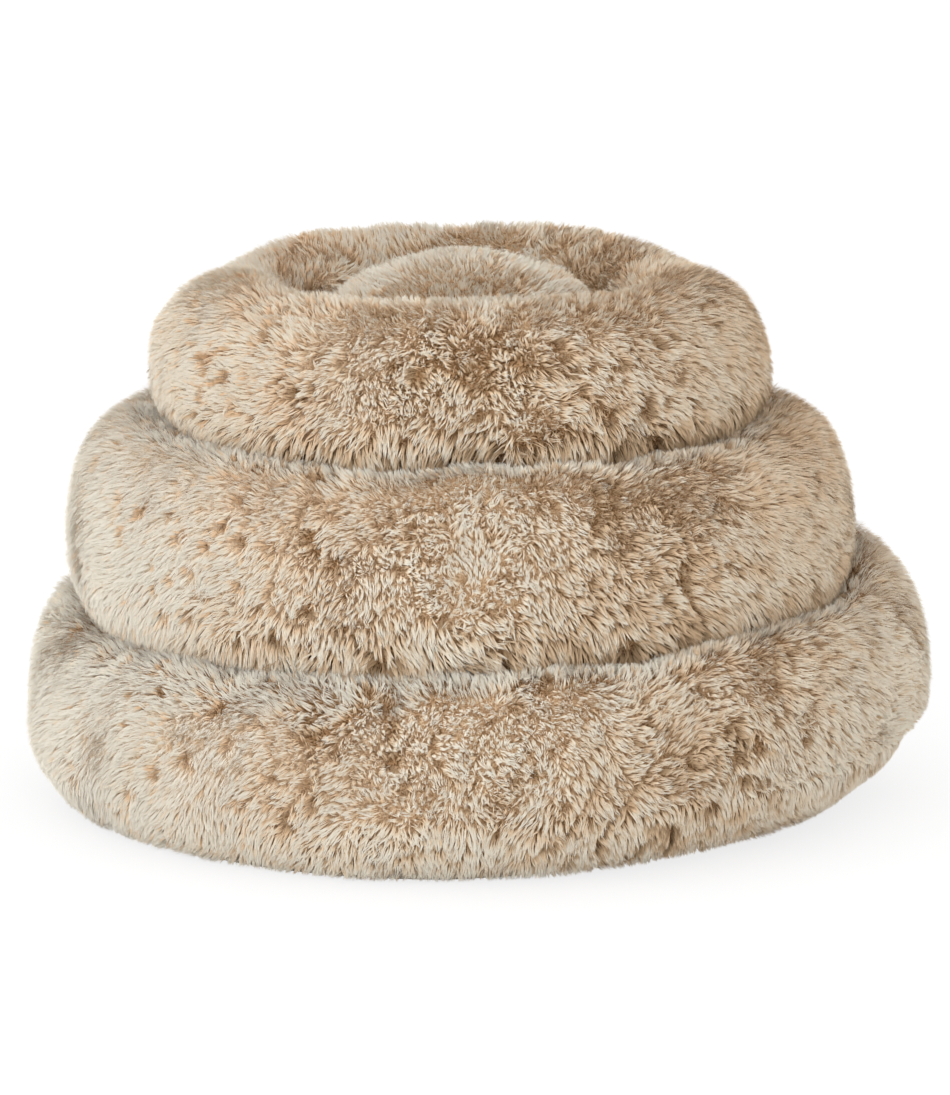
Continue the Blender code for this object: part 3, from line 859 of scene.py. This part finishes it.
# %% The lie of the fur
COMB_DOWN = 0.5
COMB_OUT = 0.4
COMB_ASIDE = 1.1
HANG = 2.0
SWIRL_SHARE = 0.9
SWIRL_LENGTH = 0.16
EDDY_SHARE = 0.5
EDDY_LENGTH = 0.05
LOCK_SHARE = 0.45
LEAN_ON_NEXT = 0.8
CALM_FROM, CALM_OVER = 0.45, 0.4


def ease(share):
    """Turns a straight run from 0 to 1 into one that starts and ends gently."""
    return share * share * (3 - 2 * share)


def along(vectors, normals):
    """The part of each vector that lies in the surface, at unit length."""
    return unit(vectors - (vectors * normals).sum(1, keepdims=True) * normals)


def out_from(bed, places):
    out = places - np.array([bed["axis"], 0, 0])
    out[:, 2] = 0
    return unit(out)


def calm_of(places, size):
    """0 at the front and back, 1 at the two sides, where handling has smoothed the fur."""
    aside = np.abs(places[:, 0] - BED[size]["axis"]) / BED[size]["radius"]
    return ease(np.clip((aside - CALM_FROM) / CALM_OVER, 0, 1))


def lie_of(places, normals, size, seed, calm, random):
    """Which way each lock lies: combed down and out, with swirls, eddies and a whim of its own."""
    out = out_from(BED[size], places)
    wild = 1 - 0.6 * calm
    down = COMB_DOWN + HANG * hanging(places, normals, size)
    comb = COMB_OUT * out - down[:, None] * np.array([0, 0, 1.0])
    comb[:, 0] += COMB_ASIDE * (places[:, 0] - BED[size]["axis"]) / BED[size]["radius"]
    for axis in range(3):
        comb[:, axis] += SWIRL_SHARE * wild * waves(places, SWIRL_LENGTH, seed + axis)
        comb[:, axis] += EDDY_SHARE * wild * waves(places, EDDY_LENGTH, seed + 5 + axis)
    comb += LOCK_SHARE * wild[:, None] * random.normal(size=comb.shape)
    comb -= LEAN_ON_NEXT * round_next(places, size)[:, None] * out
    return along(comb, normals)


aside = np.array([[BED["large"]["axis"] + share * BED["large"]["radius"], 0, 0] for share in (0, 0.6, 0.9)])
print("from the front to the side the fur calms as", calm_of(aside, "large").round(2))


# %% A strand's curve
PILE = 14.5 * MM
RISE = 58
RISE_RANGE = (12, 82)
STRAND_WIDTH = 0.8 * MM
HIDDEN_WIDTH_SHARE = 2.2
STEPS = np.array([0.0, 0.5, 1.0])


def curve_points(roots, normals, lies, lengths, rise):
    """Places along each strand: it leaves the skin steeply and then lies over. rise is in radians."""
    steps = STEPS[None, :, None]
    up = normals[:, None] * (1.35 * steps - 0.35 * steps**2) * np.sin(rise)[:, None, None]
    run = lies[:, None] * (0.7 * steps + 0.3 * steps**2) * np.cos(rise)[:, None, None]
    return roots[:, None] + (up + run) * lengths[:, None, None]


def nearest(points, centres):
    tree = kdtree.KDTree(len(centres))
    for number, centre in enumerate(centres):
        tree.insert(centre, number)
    tree.balance()
    return np.array([tree.find(point)[1] for point in points])


upright = curve_points(np.zeros((1, 3)), np.eye(3)[2:], np.eye(3)[:1], np.array([PILE]), np.radians([RISE]))
print("an open strand ends", (upright[0, 2] / MM).round(1), "mm from its root, along and up")


# %% Pits
PIT_AREA = 900 * MM * MM
PIT_RADIUS = (2.2 * MM, 5 * MM)
PIT_SPREAD = 1.15
PIT_EDGE = 1.5
RAGGED_LENGTH = 0.014
RAGGED_SHARE = 0.35


def near_pits(places, key, seed):
    """How deep in a pit each place is, how strongly its fur is parted by it, and the way out."""
    obj = SKINS[key]
    centres, _ = scatter(obj, lambda where, facing: np.full(len(where), 1 / PIT_AREA), seed + 3)
    random = np.random.default_rng(seed + 4)
    radii = random.uniform(*PIT_RADIUS, len(centres))
    strengths = random.uniform(0.25, 1, len(centres)) ** 1.5
    close = nearest(places, centres)
    away = places - centres[close]
    ragged = 1 + RAGGED_SHARE * waves(places, RAGGED_LENGTH, seed + 6)
    share = np.linalg.norm(away, axis=1) / radii[close] * ragged
    deep = strengths[close] * np.exp(-share**4)
    parted = strengths[close] * np.exp(-((share / PIT_EDGE) ** 2))
    for place, radius, strength in PITS_LANDED[key]:
        off = places - place
        share = np.linalg.norm(off, axis=1) / (PIT_SPREAD * radius) * ragged
        here = strength * np.exp(-((share / PIT_EDGE) ** 2))
        away = np.where((here > parted)[:, None], off, away)
        deep = np.maximum(strength * np.exp(-share**4), deep)
        parted = np.maximum(here, parted)
    return deep, parted, unit(away)


print("besides the pits that are seen, one for each", round(PIT_AREA / MM / MM / 100), "square cm")


# %% Partings
PARTING_LENGTH = 0.12
PARTING_WIDTH = 0.11
PARTING_PATCH = 0.17


def near_partings(places, seed):
    """How close each place is to a line along which the fur parts, from 0 to 1, and the way off it."""
    field = waves(places, PARTING_LENGTH, seed)
    step = 1 * MM
    slope = np.stack([
        waves(places + step * np.eye(3)[axis], PARTING_LENGTH, seed) - field for axis in range(3)
    ], 1)
    here = np.clip(0.35 + 1.4 * waves(places, PARTING_PATCH, seed + 1), 0, 1)
    return here * np.exp(-((field / PARTING_WIDTH) ** 2)), unit(slope * np.sign(field)[:, None])


close_to_line = near_partings(places_of(SKINS["medium", "bolster"]), 1)[0]
print("fur parts on", round(100 * float((close_to_line > 0.5).mean())), "% of the medium ring")


# %% Tones of a lock
PIT_DARKEN = 0.85
ROUGH_DARKEN = 0.06
CREASE_PAINTED_SHADE = 0.42
CLOUD_DARKEN = 0.05
CLOUD_LENGTH = 0.075
CALM_ROOT_PAINTED_LIGHT = 0.45
LIP_ROOT_PAINTED_LIGHT = 0.3
FLECKS = 0.1
FLECK_DARKEN = 0.35
RIGHT_PAINTED_SHADE = 0.68
RIGHT_REACH = 0.3
HIGH_LEFT_PAINTED_SHADE = 0.25
HIGH_LEFT_REACH = 0.25
DARKEST_TIP = 0.12
# Shade runs from 0, warm and dark, to 1, pale
MIDDLE_SHADE = 0.28
LEFT_PAINTED_LIGHT = 0.66
RIGHT_WARM_PAINTED_SHADE = 0.28
PATCH_PALER = 0.12
TOP_PAINTED_LIGHT = 0.28
CREASE_WARM_PAINTED_SHADE = 0.7
LIP_WARM_PAINTED_SHADE = 0.1
PIT_WARMER = 0.4
SUNK_PAINTED_LIGHT = 0.15


def shade_of(places, normals, tone, random):
    """How pale each lock is: paler on the left of the stack and on top as painted light, warmer on the
    right as painted shade, with patches.
    """
    # Painted light and shade: paler on the left, warmer on the right, as if lit from the left
    side = ease(np.clip((places[:, 0] - PAINTED_LIGHT_FROM) / (PAINTED_LIGHT_TO - PAINTED_LIGHT_FROM), 0, 1))
    far_right = np.clip(places[:, 0] / RIGHT_REACH, 0, 1)
    patches = 0.06 * waves(places, 0.12, 77) + 0.05 * random.normal(size=len(places))
    # Painted light: paler where the surface faces up
    upper = TOP_PAINTED_LIGHT * np.clip(normals[:, 2], 0, 1) ** 2
    plain = MIDDLE_SHADE + LEFT_PAINTED_LIGHT * side - RIGHT_WARM_PAINTED_SHADE * far_right
    return plain + PATCH_PALER * tone + upper + patches


def tones_on(key, places, normals, handled, seed, random):
    """Root, middle and tip tones of each lock, its shade, and how much painted light it gets."""
    size = key[0]
    tone, calm, rough, open_here = handled
    cloud = np.clip(0.5 + 0.8 * waves(places, CLOUD_LENGTH, seed + 21), 0, 1) * (1 - 0.8 * calm)
    # Painted shade, with the brown roots that show there: tips darker and shades warmer on the lower belly
    crease = hanging(places, normals, size) * (0.35 if size == "large" else 1)
    tip = 1 - PIT_DARKEN * open_here * (1 - 0.5 * rough) - ROUGH_DARKEN * rough
    tip -= CLOUD_DARKEN * cloud + CREASE_PAINTED_SHADE * crease
    fleck = (random.random(len(places)) < FLECKS) * (1 - 0.5 * rough)
    height = np.clip(0.75 + 1.2 * (places[:, 2] - 0.25), 0.5, 1.1)
    # Flecks are darker locks. The darkening on the right, more so higher up, is painted shade
    tip -= FLECK_DARKEN * fleck + RIGHT_PAINTED_SHADE * height * np.clip(places[:, 0] / RIGHT_REACH, 0, 1)
    # Painted shade: tips darker on the upper left of the stack
    high_up = np.clip((places[:, 2] - 0.3) / 0.12, 0, 1)
    tip -= HIGH_LEFT_PAINTED_SHADE * np.clip(-places[:, 0] / HIGH_LEFT_REACH, 0, 1) * high_up
    # Painted light where the bed above shades the lip: paler roots, warmer shade and the brightest tones.
    # The small cushion, sunk in its well, gets painted light too
    lip = round_next(places, size)
    # Roots are paler at the calm sides as painted light, filling the shade between strands
    root = tip * np.clip(CALM_ROOT_PAINTED_LIGHT * calm + LIP_ROOT_PAINTED_LIGHT * lip, 0, 0.8) * (1 - open_here) * (1 - 0.5 * fleck)
    sunk = 1.0 if key == ("small", "cushion") else 0.0
    shade = shade_of(places, normals, tone, random) - CREASE_WARM_PAINTED_SHADE * crease - LIP_WARM_PAINTED_SHADE * lip
    return {
        "root": root,
        "middle": np.clip(0.5 + 0.1 * calm - 0.3 * rough - 0.15 * open_here, 0.15, 0.6),
        "tip": np.clip(tip, DARKEST_TIP, 1),
        "shade": shade + SUNK_PAINTED_LIGHT * sunk - PIT_WARMER * open_here,
        "lit": np.clip(1.2 * lip + sunk, 0, 1),
    }


print("tips go down to", DARKEST_TIP, "in the deepest pits")


# %% Locks
STRANDS_TO_A_LOCK = 4
PIT_PART = 1.5
PIT_SHORTEN = 0.5
PIT_FLAT = 6
LINE_PART = 1.5
LINE_OPEN = 0.35
RISE_LENGTH = 0.06


def locks_on(key, places, normals, reach, seed, random):
    """Lie, length, rise, calm, tones and shade of each lock on a skin."""
    size = key[0]
    tone = np.clip(felt(places, TONES[key]), -1, 1)
    calm = np.clip(calm_of(places, size) + 0.6 * tone, 0, 1)
    rough = np.clip(-tone, 0, 1)
    pit, parted, out_of_pit = near_pits(places, key, seed)
    line, off_line = near_partings(places, seed + 11)
    line = line * (1 - 0.8 * calm)
    lies = lie_of(places, normals, size, seed, calm, random)
    lies += PIT_PART * parted[:, None] * out_of_pit + LINE_PART * line[:, None] * off_line
    open_here = np.clip(pit + LINE_OPEN * line, 0, 1)
    rises = RISE - 10 * calm - 5 * rough + 8 * waves(places, RISE_LENGTH, seed + 9)
    rises += 7 * (1 - 0.6 * calm) * random.normal(size=len(places)) - PIT_FLAT * parted
    stretch = 1 + 0.07 * (1 - 0.4 * calm) * random.normal(size=len(places))
    stretch = np.clip(stretch, 0.8, 1.2) * (1 - PIT_SHORTEN * open_here)
    rises = np.radians(np.clip(rises, *RISE_RANGE))
    lengths, rises = reach(places, normals, PILE * stretch, rises)
    made = tones_on(key, places, normals, (tone, calm, rough, open_here), seed, random)
    made.update(lie=along(lies, normals), length=lengths, rise=rises, calm=calm, rough=rough)
    return made


print("one lock for every", STRANDS_TO_A_LOCK, "strands, open at", RISE, "degrees")


# %% Tufts of locks
LOCKS_TO_A_TUFT = 14
TUFT_CORE = 4 * MM
TUFT_PULL = 0.38
TUFT_GAP = 0.28
# A lean grows from root to tip by this power
LEAN_POWER = 1.5


def into_tufts(centres, guides, made, random):
    """Leans neighbouring locks together, and darkens and shortens the ones between two tufts."""
    hearts = random.choice(len(centres), max(len(centres) // LOCKS_TO_A_TUFT, 1), replace=False)
    tuft = nearest(centres, centres[hearts])
    away = np.linalg.norm(centres - centres[hearts][tuft], axis=1)
    gap = np.clip(away / TUFT_CORE - 1, 0, 1) * (1 - 0.6 * made["calm"])
    made["tip"] = np.clip(made["tip"] - TUFT_GAP * gap, DARKEST_TIP, 1)
    made["length"] = made["length"] * (1 - 0.12 * gap)
    made["shade"] = made["shade"] + 0.06 * random.normal(size=len(hearts))[tuft]
    return guides + (guides[hearts][tuft] - guides) * TUFT_PULL * STEPS[None, :, None] ** LEAN_POWER


print("a tuft holds about", LOCKS_TO_A_TUFT * STRANDS_TO_A_LOCK, "strands")


# %% Strands
LOCK_PULL = 0.55
FRIZZ = 0.4 * MM
UNLIT = 0.86


def bare_and_shaded_spots(key, centres, made):
    """Tells the undercoat where the locks above it are dark and parted, and where it gets painted shade at
    the creases, as a value at each vertex.
    """
    mesh = SKINS[key].data
    places = places_of(SKINS[key])
    close = nearest(places, centres)
    open_or_shaded = 1.1 - 1.3 * made["tip"][close] + 0.8 * made["rough"][close]
    # Painted shade: deep brown round the foot of the bed above and under the lower belly
    open_or_shaded += 0.9 * round_next(places, key[0]) + 0.6 * hanging(places, normals_of(SKINS[key]), key[0])
    layer = mesh.attributes.new(OPEN_OR_SHADED, "FLOAT", "POINT")
    layer.data.foreach_set("value", np.clip(open_or_shaded, 0, 1).astype(np.float32))


def grow(key, crowd, reach, keep, seed):
    """Points (n, 3, 3), normals, shades, tones (root, middle, tip) and widths of the fur on one skin."""
    random = np.random.default_rng(seed)
    roots, normals = scatter(SKINS[key], crowd, seed)
    count = len(roots)
    picked = random.choice(count, max(count // STRANDS_TO_A_LOCK, 1), replace=False)
    centres, facing = roots[picked], normals[picked]
    lock = nearest(roots, centres)
    made = locks_on(key, centres, facing, reach, seed, random)
    guides = curve_points(centres, facing, made["lie"], made["length"], made["rise"])
    guides = into_tufts(centres, guides, made, random)
    own = made["length"][lock] * random.uniform(0.86, 1.05, count)
    points = curve_points(roots, normals, made["lie"][lock], own, made["rise"][lock])
    firm = 1 - 0.4 * made["calm"][lock] + 0.5 * made["rough"][lock]
    pull = LOCK_PULL * firm[:, None, None] * STEPS[None, :, None] ** LEAN_POWER
    points += (guides[lock] - points) * pull
    points[:, 1:] += random.normal(size=(count, 2, 3)) * FRIZZ * STEPS[None, 1:, None]
    points = keep(points)
    bare_and_shaded_spots(key, centres, made)
    shades = np.clip(made["shade"][lock] + 0.05 * random.normal(size=count), 0.02, 0.98)
    tips = np.clip(made["tip"][lock] - 0.06 * random.random(count), 0.1, 1)
    low = np.minimum(made["root"][lock], tips - 0.08)
    tones = np.stack([low, low + (tips - low) * made["middle"][lock], tips], 1)
    # Painted light: tones stop at UNLIT except on the lip strands and the small cushion, which reach the
    # brighter last stops
    tones *= (UNLIT + 0.14 * made["lit"][lock])[:, None]
    widths = np.where(under_next(roots, key[0]), HIDDEN_WIDTH_SHARE, 1.0)
    return points, normals, shades, tones, widths


print("strands lean", LOCK_PULL, "of the way to the middle of their lock")


# %% From strands to a mesh
TWIST = 0.15
FACE_ACROSS = 0.006


def ribbon_mesh(name, points, normals, shades, tones, widths, random):
    """Each strand is two triangles, pointed at root and tip, turned a little about its length."""
    count = len(points)
    tangent = unit(points[:, 2] - points[:, 0])
    side = unit(np.cross(tangent, normals))
    twist = random.normal(size=(count, 1)) * TWIST
    side = side * np.cos(twist) + np.cross(side, tangent) * np.sin(twist)
    half = STRAND_WIDTH / 2 * (widths * random.uniform(0.75, 1.25, count))[:, None]
    left, right = points[:, 1] - side * half, points[:, 1] + side * half
    verts = np.stack([points[:, 0], left, right, points[:, 2]], 1)
    pattern = np.array([0, 2, 1, 1, 2, 3])
    corners = (np.arange(count)[:, None] * 4 + pattern).ravel()
    mesh = bpy.data.meshes.new(name)
    mesh.vertices.add(count * 4)
    mesh.vertices.foreach_set("co", verts.ravel())
    mesh.loops.add(len(corners))
    mesh.loops.foreach_set("vertex_index", corners.astype(np.int32))
    mesh.polygons.add(count * 2)
    mesh.polygons.foreach_set("loop_start", np.arange(0, count * 6, 3, dtype=np.int32))
    layer = mesh.uv_layers.new(name=FUR_MAP)
    # A strand is given a little width in the map too, so that the map has no empty faces
    across = np.array([0, -1, 1, 0]) * FACE_ACROSS
    u = (shades[:, None] + across)[:, pattern]
    v = tones[:, [0, 1, 1, 2]][:, pattern]
    layer.uv.foreach_set("vector", np.stack([u, 0.01 + 0.98 * v], 2).astype(np.float32).ravel())
    mesh.update(calc_edges=True)
    mesh.polygons.foreach_set("use_smooth", np.ones(len(mesh.polygons), bool))
    mesh.materials.append(FUR)
    return mesh


print("a strand has", len(STEPS), "points and 2 triangles")

# %% [markdown]
# ## Where the fur is long, short or pressed
# Open fur stands up to its full height. Where the next bed sits, the fur is there too, because it shows
# once the beds are lifted apart, but it is pressed flat and can be sparser. The base has none.

# %% Regions of a ring
# Strands to a square metre
OPEN_CROWD = 350_000
HIDDEN_CROWD = 60_000
SEWN_IN_EDGE = 30 * MM
SEWN_IN_HEIGHT = 25 * MM
BARE_FOOT = {"large": 9 * MM, "medium": 4 * MM, "small": 4 * MM}
SEAT_ABOVE = 0.03
RING_INSIDE = 0.03
PAD_SIDE = 0.07


def under_next(places, size):
    """True where a place lies under the bed above, or inside the ring that it covers."""
    if size not in ABOVE:
        return np.zeros(len(places), bool)
    away = from_axis(places, ABOVE[size])
    return (away < BED[ABOVE[size]]["foot"]) & (places[:, 2] > BED[size]["base"] + SEAT_ABOVE)


def crowd_on(size):
    """Where the fur is open, sparse or left out: at the foot, under a cushion and over the base cloth."""
    bed = BED[size]

    def crowd(places, normals):
        hidden = under_next(places, size)
        wanted = np.where(hidden, HIDDEN_CROWD, OPEN_CROWD)
        low = places[:, 2] < bed["base"] + BARE_FOOT[size]
        inside = from_axis(places, size) < bed["well"] + RING_INSIDE
        buried = inside & (places[:, 2] < bed["base"] + PAD_SIDE) & (normals[:, 2] < 0.5)
        sewn_in = from_axis(places, size, "foot_axis") < bed["foot"] - SEWN_IN_EDGE
        near_cloth = places[:, 2] < lowest(places, size) + SEWN_IN_HEIGHT
        under = sewn_in & near_cloth & (normals[:, 2] < 0.3)
        return np.where(low | buried | under, 0, wanted)

    return crowd


print("open fur is", OPEN_CROWD / HIDDEN_CROWD, "times as dense as pressed fur")


# %% Hanging and pressed fur
SEAT_SLOPE = 0.63
LONGEST_HANG = {"large": 17 * MM, "medium": 28 * MM, "small": 28 * MM}
HANG_BELOW = {"large": 4 * MM, "medium": 18 * MM, "small": 18 * MM}
PRESSED_RISE = 0.25


def reach_on(size):
    """Fur on the lower belly hangs down to the seat or floor, and fur under the next bed lies flat."""
    bed = BED[size]

    def reach(places, normals, lengths, rises):
        hang = hanging(places, normals, size)
        drop = places[:, 2] - bed["base"]
        if size != "large":
            drop = drop - SEAT_SLOPE * np.maximum(from_axis(places, size) - bed["foot"], 0)
        straight = np.clip(drop + HANG_BELOW[size], 0.7 * PILE, LONGEST_HANG[size])
        lengths = lengths + (straight - lengths) * hang
        plumb = np.arcsin(np.clip(-normals[:, 2], 0, 1))
        rises = rises + (np.maximum(plumb, 0.3) - rises) * hang
        return lengths, np.where(under_next(places, size), np.minimum(rises, PRESSED_RISE), rises)

    return reach


for size in SIZES:
    print(size, "fur hangs for at most", round(LONGEST_HANG[size] / MM), "mm")


# %% Holding the fur in
PROUD = 8 * MM
HOLD_SHARES = np.array([[0.6], [0.8], [1.0]])
OFF_SEAT = 0.6 * MM
BELOW_NEXT = 1.5 * MM


def keep_on(size):
    """Holds the fur off the floor or seat, out of the bed above, and close in at the foot."""
    bed = BED[size]
    surface = tree_of(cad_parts[f"{size}_bolster_cover"])

    def hold_in(points):
        ends = points[:, 2]
        outer = from_axis(ends, size) > bed["well"] + OUTER_FROM
        for number in np.nonzero((ends[:, 2] < bed["base"] + TUCK_HEIGHT) & outer)[0]:
            touch, facing, _, _ = surface.find_nearest(Vector(ends[number]))
            excess = (Vector(ends[number]) - touch).dot(facing) - PROUD
            if excess > 0:
                points[number] -= np.array(facing * excess) * HOLD_SHARES
        return points

    def keep(points):
        if size == "large":
            points = hold_in(points)
        flat = points.reshape(-1, 3)
        sewn_in = from_axis(flat, size, "foot_axis") < bed["foot"] - SEWN_IN_EDGE
        cloth = np.where(sewn_in, lowest(flat, size), bed["base"] + OFF_SEAT)
        points[:, :, 2] = np.maximum(points[:, :, 2], cloth.reshape(points.shape[:2]))
        if size in ABOVE:
            over = BED[ABOVE[size]]
            seated = from_axis(points.reshape(-1, 3), ABOVE[size]).reshape(points.shape[:2])
            limit = np.where(seated < over["foot"] + 2 * MM, over["base"] - BELOW_NEXT, np.inf)
            points[:, :, 2] = np.minimum(points[:, :, 2], limit)
        return points

    return keep


print("the fur of the large foot stands at most", round(PROUD / MM), "mm out of the packed cover")


# %% The hem
# Strands and locks to a metre of the foot seam
HEM_CROWD = 7500
HEM_LOCKS = 300
HEM_ROOT_TONE = 0.12


def hem(size, seed):
    """Longer strands round the foot seam, hanging over the edge of the base."""
    bed = BED[size]
    random = np.random.default_rng(seed)
    count = int(2 * math.pi * bed["foot"] * HEM_CROWD)
    locks = int(2 * math.pi * bed["foot"] * HEM_LOCKS)
    turn = random.uniform(0, 2 * math.pi, count)
    lock = np.floor(turn / (2 * math.pi) * locks).astype(int)
    heart = (np.arange(locks) + random.uniform(0.2, 0.8, locks)) * 2 * math.pi / locks
    sweep = heart + 0.022 * random.normal(size=locks)
    # Root, middle and tip of each strand, in mm out of the seam and then in mm above the base
    radius = (bed["foot"] - foot_tuck(np.cos(turn), size))[:, None] + np.stack([
        random.uniform(-16, -9, count),
        random.uniform(-5, -1, count),
        0.5 + 1.5 * random.normal(size=locks)[lock] + random.normal(size=count) * 0.8,
    ], 1) * MM
    height = bed["base"] + np.stack([
        random.uniform(14, 30, count),
        random.uniform(7, 15, count),
        0.8 + 3 * random.random(locks)[lock] + random.random(count),
    ], 1) * MM
    pulled = np.stack([turn, 0.6 * turn + 0.4 * heart[lock], 0.25 * turn + 0.75 * sweep[lock]], 1)
    points = np.stack([
        bed["foot_axis"] + radius * np.cos(pulled), radius * np.sin(pulled), height,
    ], 2)
    normals = np.stack([np.cos(turn), np.sin(turn), np.full(count, 0.15)], 1)
    shades = np.clip(shade_of(points[:, 0], normals, 0, random) - 0.1, 0.02, 0.98)
    tips = random.uniform(0.6, 1.0, locks)[lock]
    tones = np.stack([np.full(count, HEM_ROOT_TONE), HEM_ROOT_TONE + 0.4 * tips, tips], 1)
    return points, unit(normals), shades, tones, np.ones(count)


for size in SIZES:
    print(size, "foot seam is", round(2 * math.pi * float(BED[size]["foot"]), 2), "m long")


# %% Grow and cut into pieces
# Strands in one piece, each of two triangles
LARGEST_PIECE = 95_000


def as_pieces(size, part, seed, points, *facts):
    """Cuts the fur of one part into pieces by its turn about the axis, and sets each on its bed."""
    turn = np.arctan2(points[:, 0, 1], points[:, 0, 0] - BED[size]["axis"])
    order = np.argsort(turn)
    shares = np.array_split(order, math.ceil(len(order) / LARGEST_PIECE))
    for number, chosen in enumerate(shares):
        random = np.random.default_rng(seed + 100 + number)
        name = f"{size}_{part}_{number + 1}"
        mesh = ribbon_mesh(name, points[chosen], *[fact[chosen] for fact in facts], random)
        made = bpy.data.objects.new(name, mesh)
        bpy.context.scene.collection.objects.link(made)
        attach(made, f"{size}_bed")
        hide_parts(f"{size}_{part.split('_')[0]}_cover")
    print(size, part, len(points), "strands in", len(shares), "pieces")
    return len(points)


def fur(size, part, seed):
    grown = grow((size, part), crowd_on(size), reach_on(size), keep_on(size), seed)
    return as_pieces(size, f"{part}_fur", seed, *grown)


strands = 0
for number, size in enumerate(SIZES):
    strands += fur(size, "bolster", 30 + 40 * number)
    strands += fur(size, "cushion", 50 + 40 * number)
    strands += as_pieces(size, "bolster_hem", 60 + 40 * number, *hem(size, 60 + 40 * number))
print(strands, "strands,", strands * 2, "triangles")

# %% [markdown]
# ## Floor and light
# The picture has a plain white ground and soft light. Most of it comes from the front here, a part from
# the upper left, and the white world fills in the rest.

# %% Floor
FLOOR_SIDE = 30
FLOOR_DROP = 0.5 * MM
FLOOR_WHITE = 0.92
FLOOR_GLOW = 0.8


def stage_floor():
    """A pale floor that the camera sees as nearly white, and that still takes the stack's shadow."""
    bpy.ops.object.select_all(action="DESELECT")
    bpy.ops.mesh.primitive_plane_add(size=FLOOR_SIDE, location=(0, 0, -FLOOR_DROP))
    floor = bpy.context.object
    floor.name = "floor"
    made, nodes, links, shader = new_material("floor_white", 0.9)
    shader.inputs["Base Color"].default_value = (FLOOR_WHITE, FLOOR_WHITE, FLOOR_WHITE, 1)
    rays = nodes.new("ShaderNodeLightPath")
    glow = nodes.new("ShaderNodeEmission")
    both = nodes.new("ShaderNodeMixShader")
    share = nodes.new("ShaderNodeMath")
    share.operation = "MULTIPLY"
    share.inputs[1].default_value = FLOOR_GLOW
    links.new(rays.outputs["Is Camera Ray"], share.inputs[0])
    links.new(share.outputs[0], both.inputs[0])
    links.new(shader.outputs[0], both.inputs[1])
    links.new(glow.outputs[0], both.inputs[2])
    links.new(both.outputs[0], nodes["Material Output"].inputs["Surface"])
    floor.data.materials.append(made)


stage_floor()
print("a floor of", FLOOR_SIDE, "m,", FLOOR_DROP / MM, "mm below the base")


# %% World
AMBIENT = 1.2


def white_world():
    world = bpy.data.worlds.new("studio")
    bpy.context.scene.world = world
    world.use_nodes = True
    nodes, links = world.node_tree.nodes, world.node_tree.links
    ground = nodes["Background"]
    ground.inputs["Color"].default_value = (1, 1, 1, 1)
    rays = nodes.new("ShaderNodeLightPath")
    seen = nodes.new("ShaderNodeMath")
    seen.operation = "MAXIMUM"
    links.new(rays.outputs["Is Camera Ray"], seen.inputs[0])
    links.new(rays.outputs["Is Glossy Ray"], seen.inputs[1])
    level = nodes.new("ShaderNodeMapRange")
    level.inputs["To Min"].default_value = AMBIENT
    level.inputs["To Max"].default_value = 1
    links.new(seen.outputs[0], level.inputs["Value"])
    links.new(level.outputs["Result"], ground.inputs["Strength"])


white_world()
print("the world lights at", AMBIENT, "and is seen at 1")


# %% Lamps
LIT_HEIGHT = 0.25


def lamp(name, place, size, power):
    light = bpy.data.lights.new(name, "AREA")
    light.size = size
    light.energy = power
    made = bpy.data.objects.new(name, light)
    bpy.context.scene.collection.objects.link(made)
    made.location = place
    aim = -made.location.copy()
    aim.z += LIT_HEIGHT
    made.rotation_euler = aim.to_track_quat("-Z", "Y").to_euler()
    print(name, "lamp of", size, "m and", power, "W")


lamp("key", (-2.9, -2.4, 2.3), 2.4, 28)
lamp("front", (-0.6, -3.9, 1.2), 2.6, 46)

bpy.context.scene.view_settings.view_transform = "Standard"
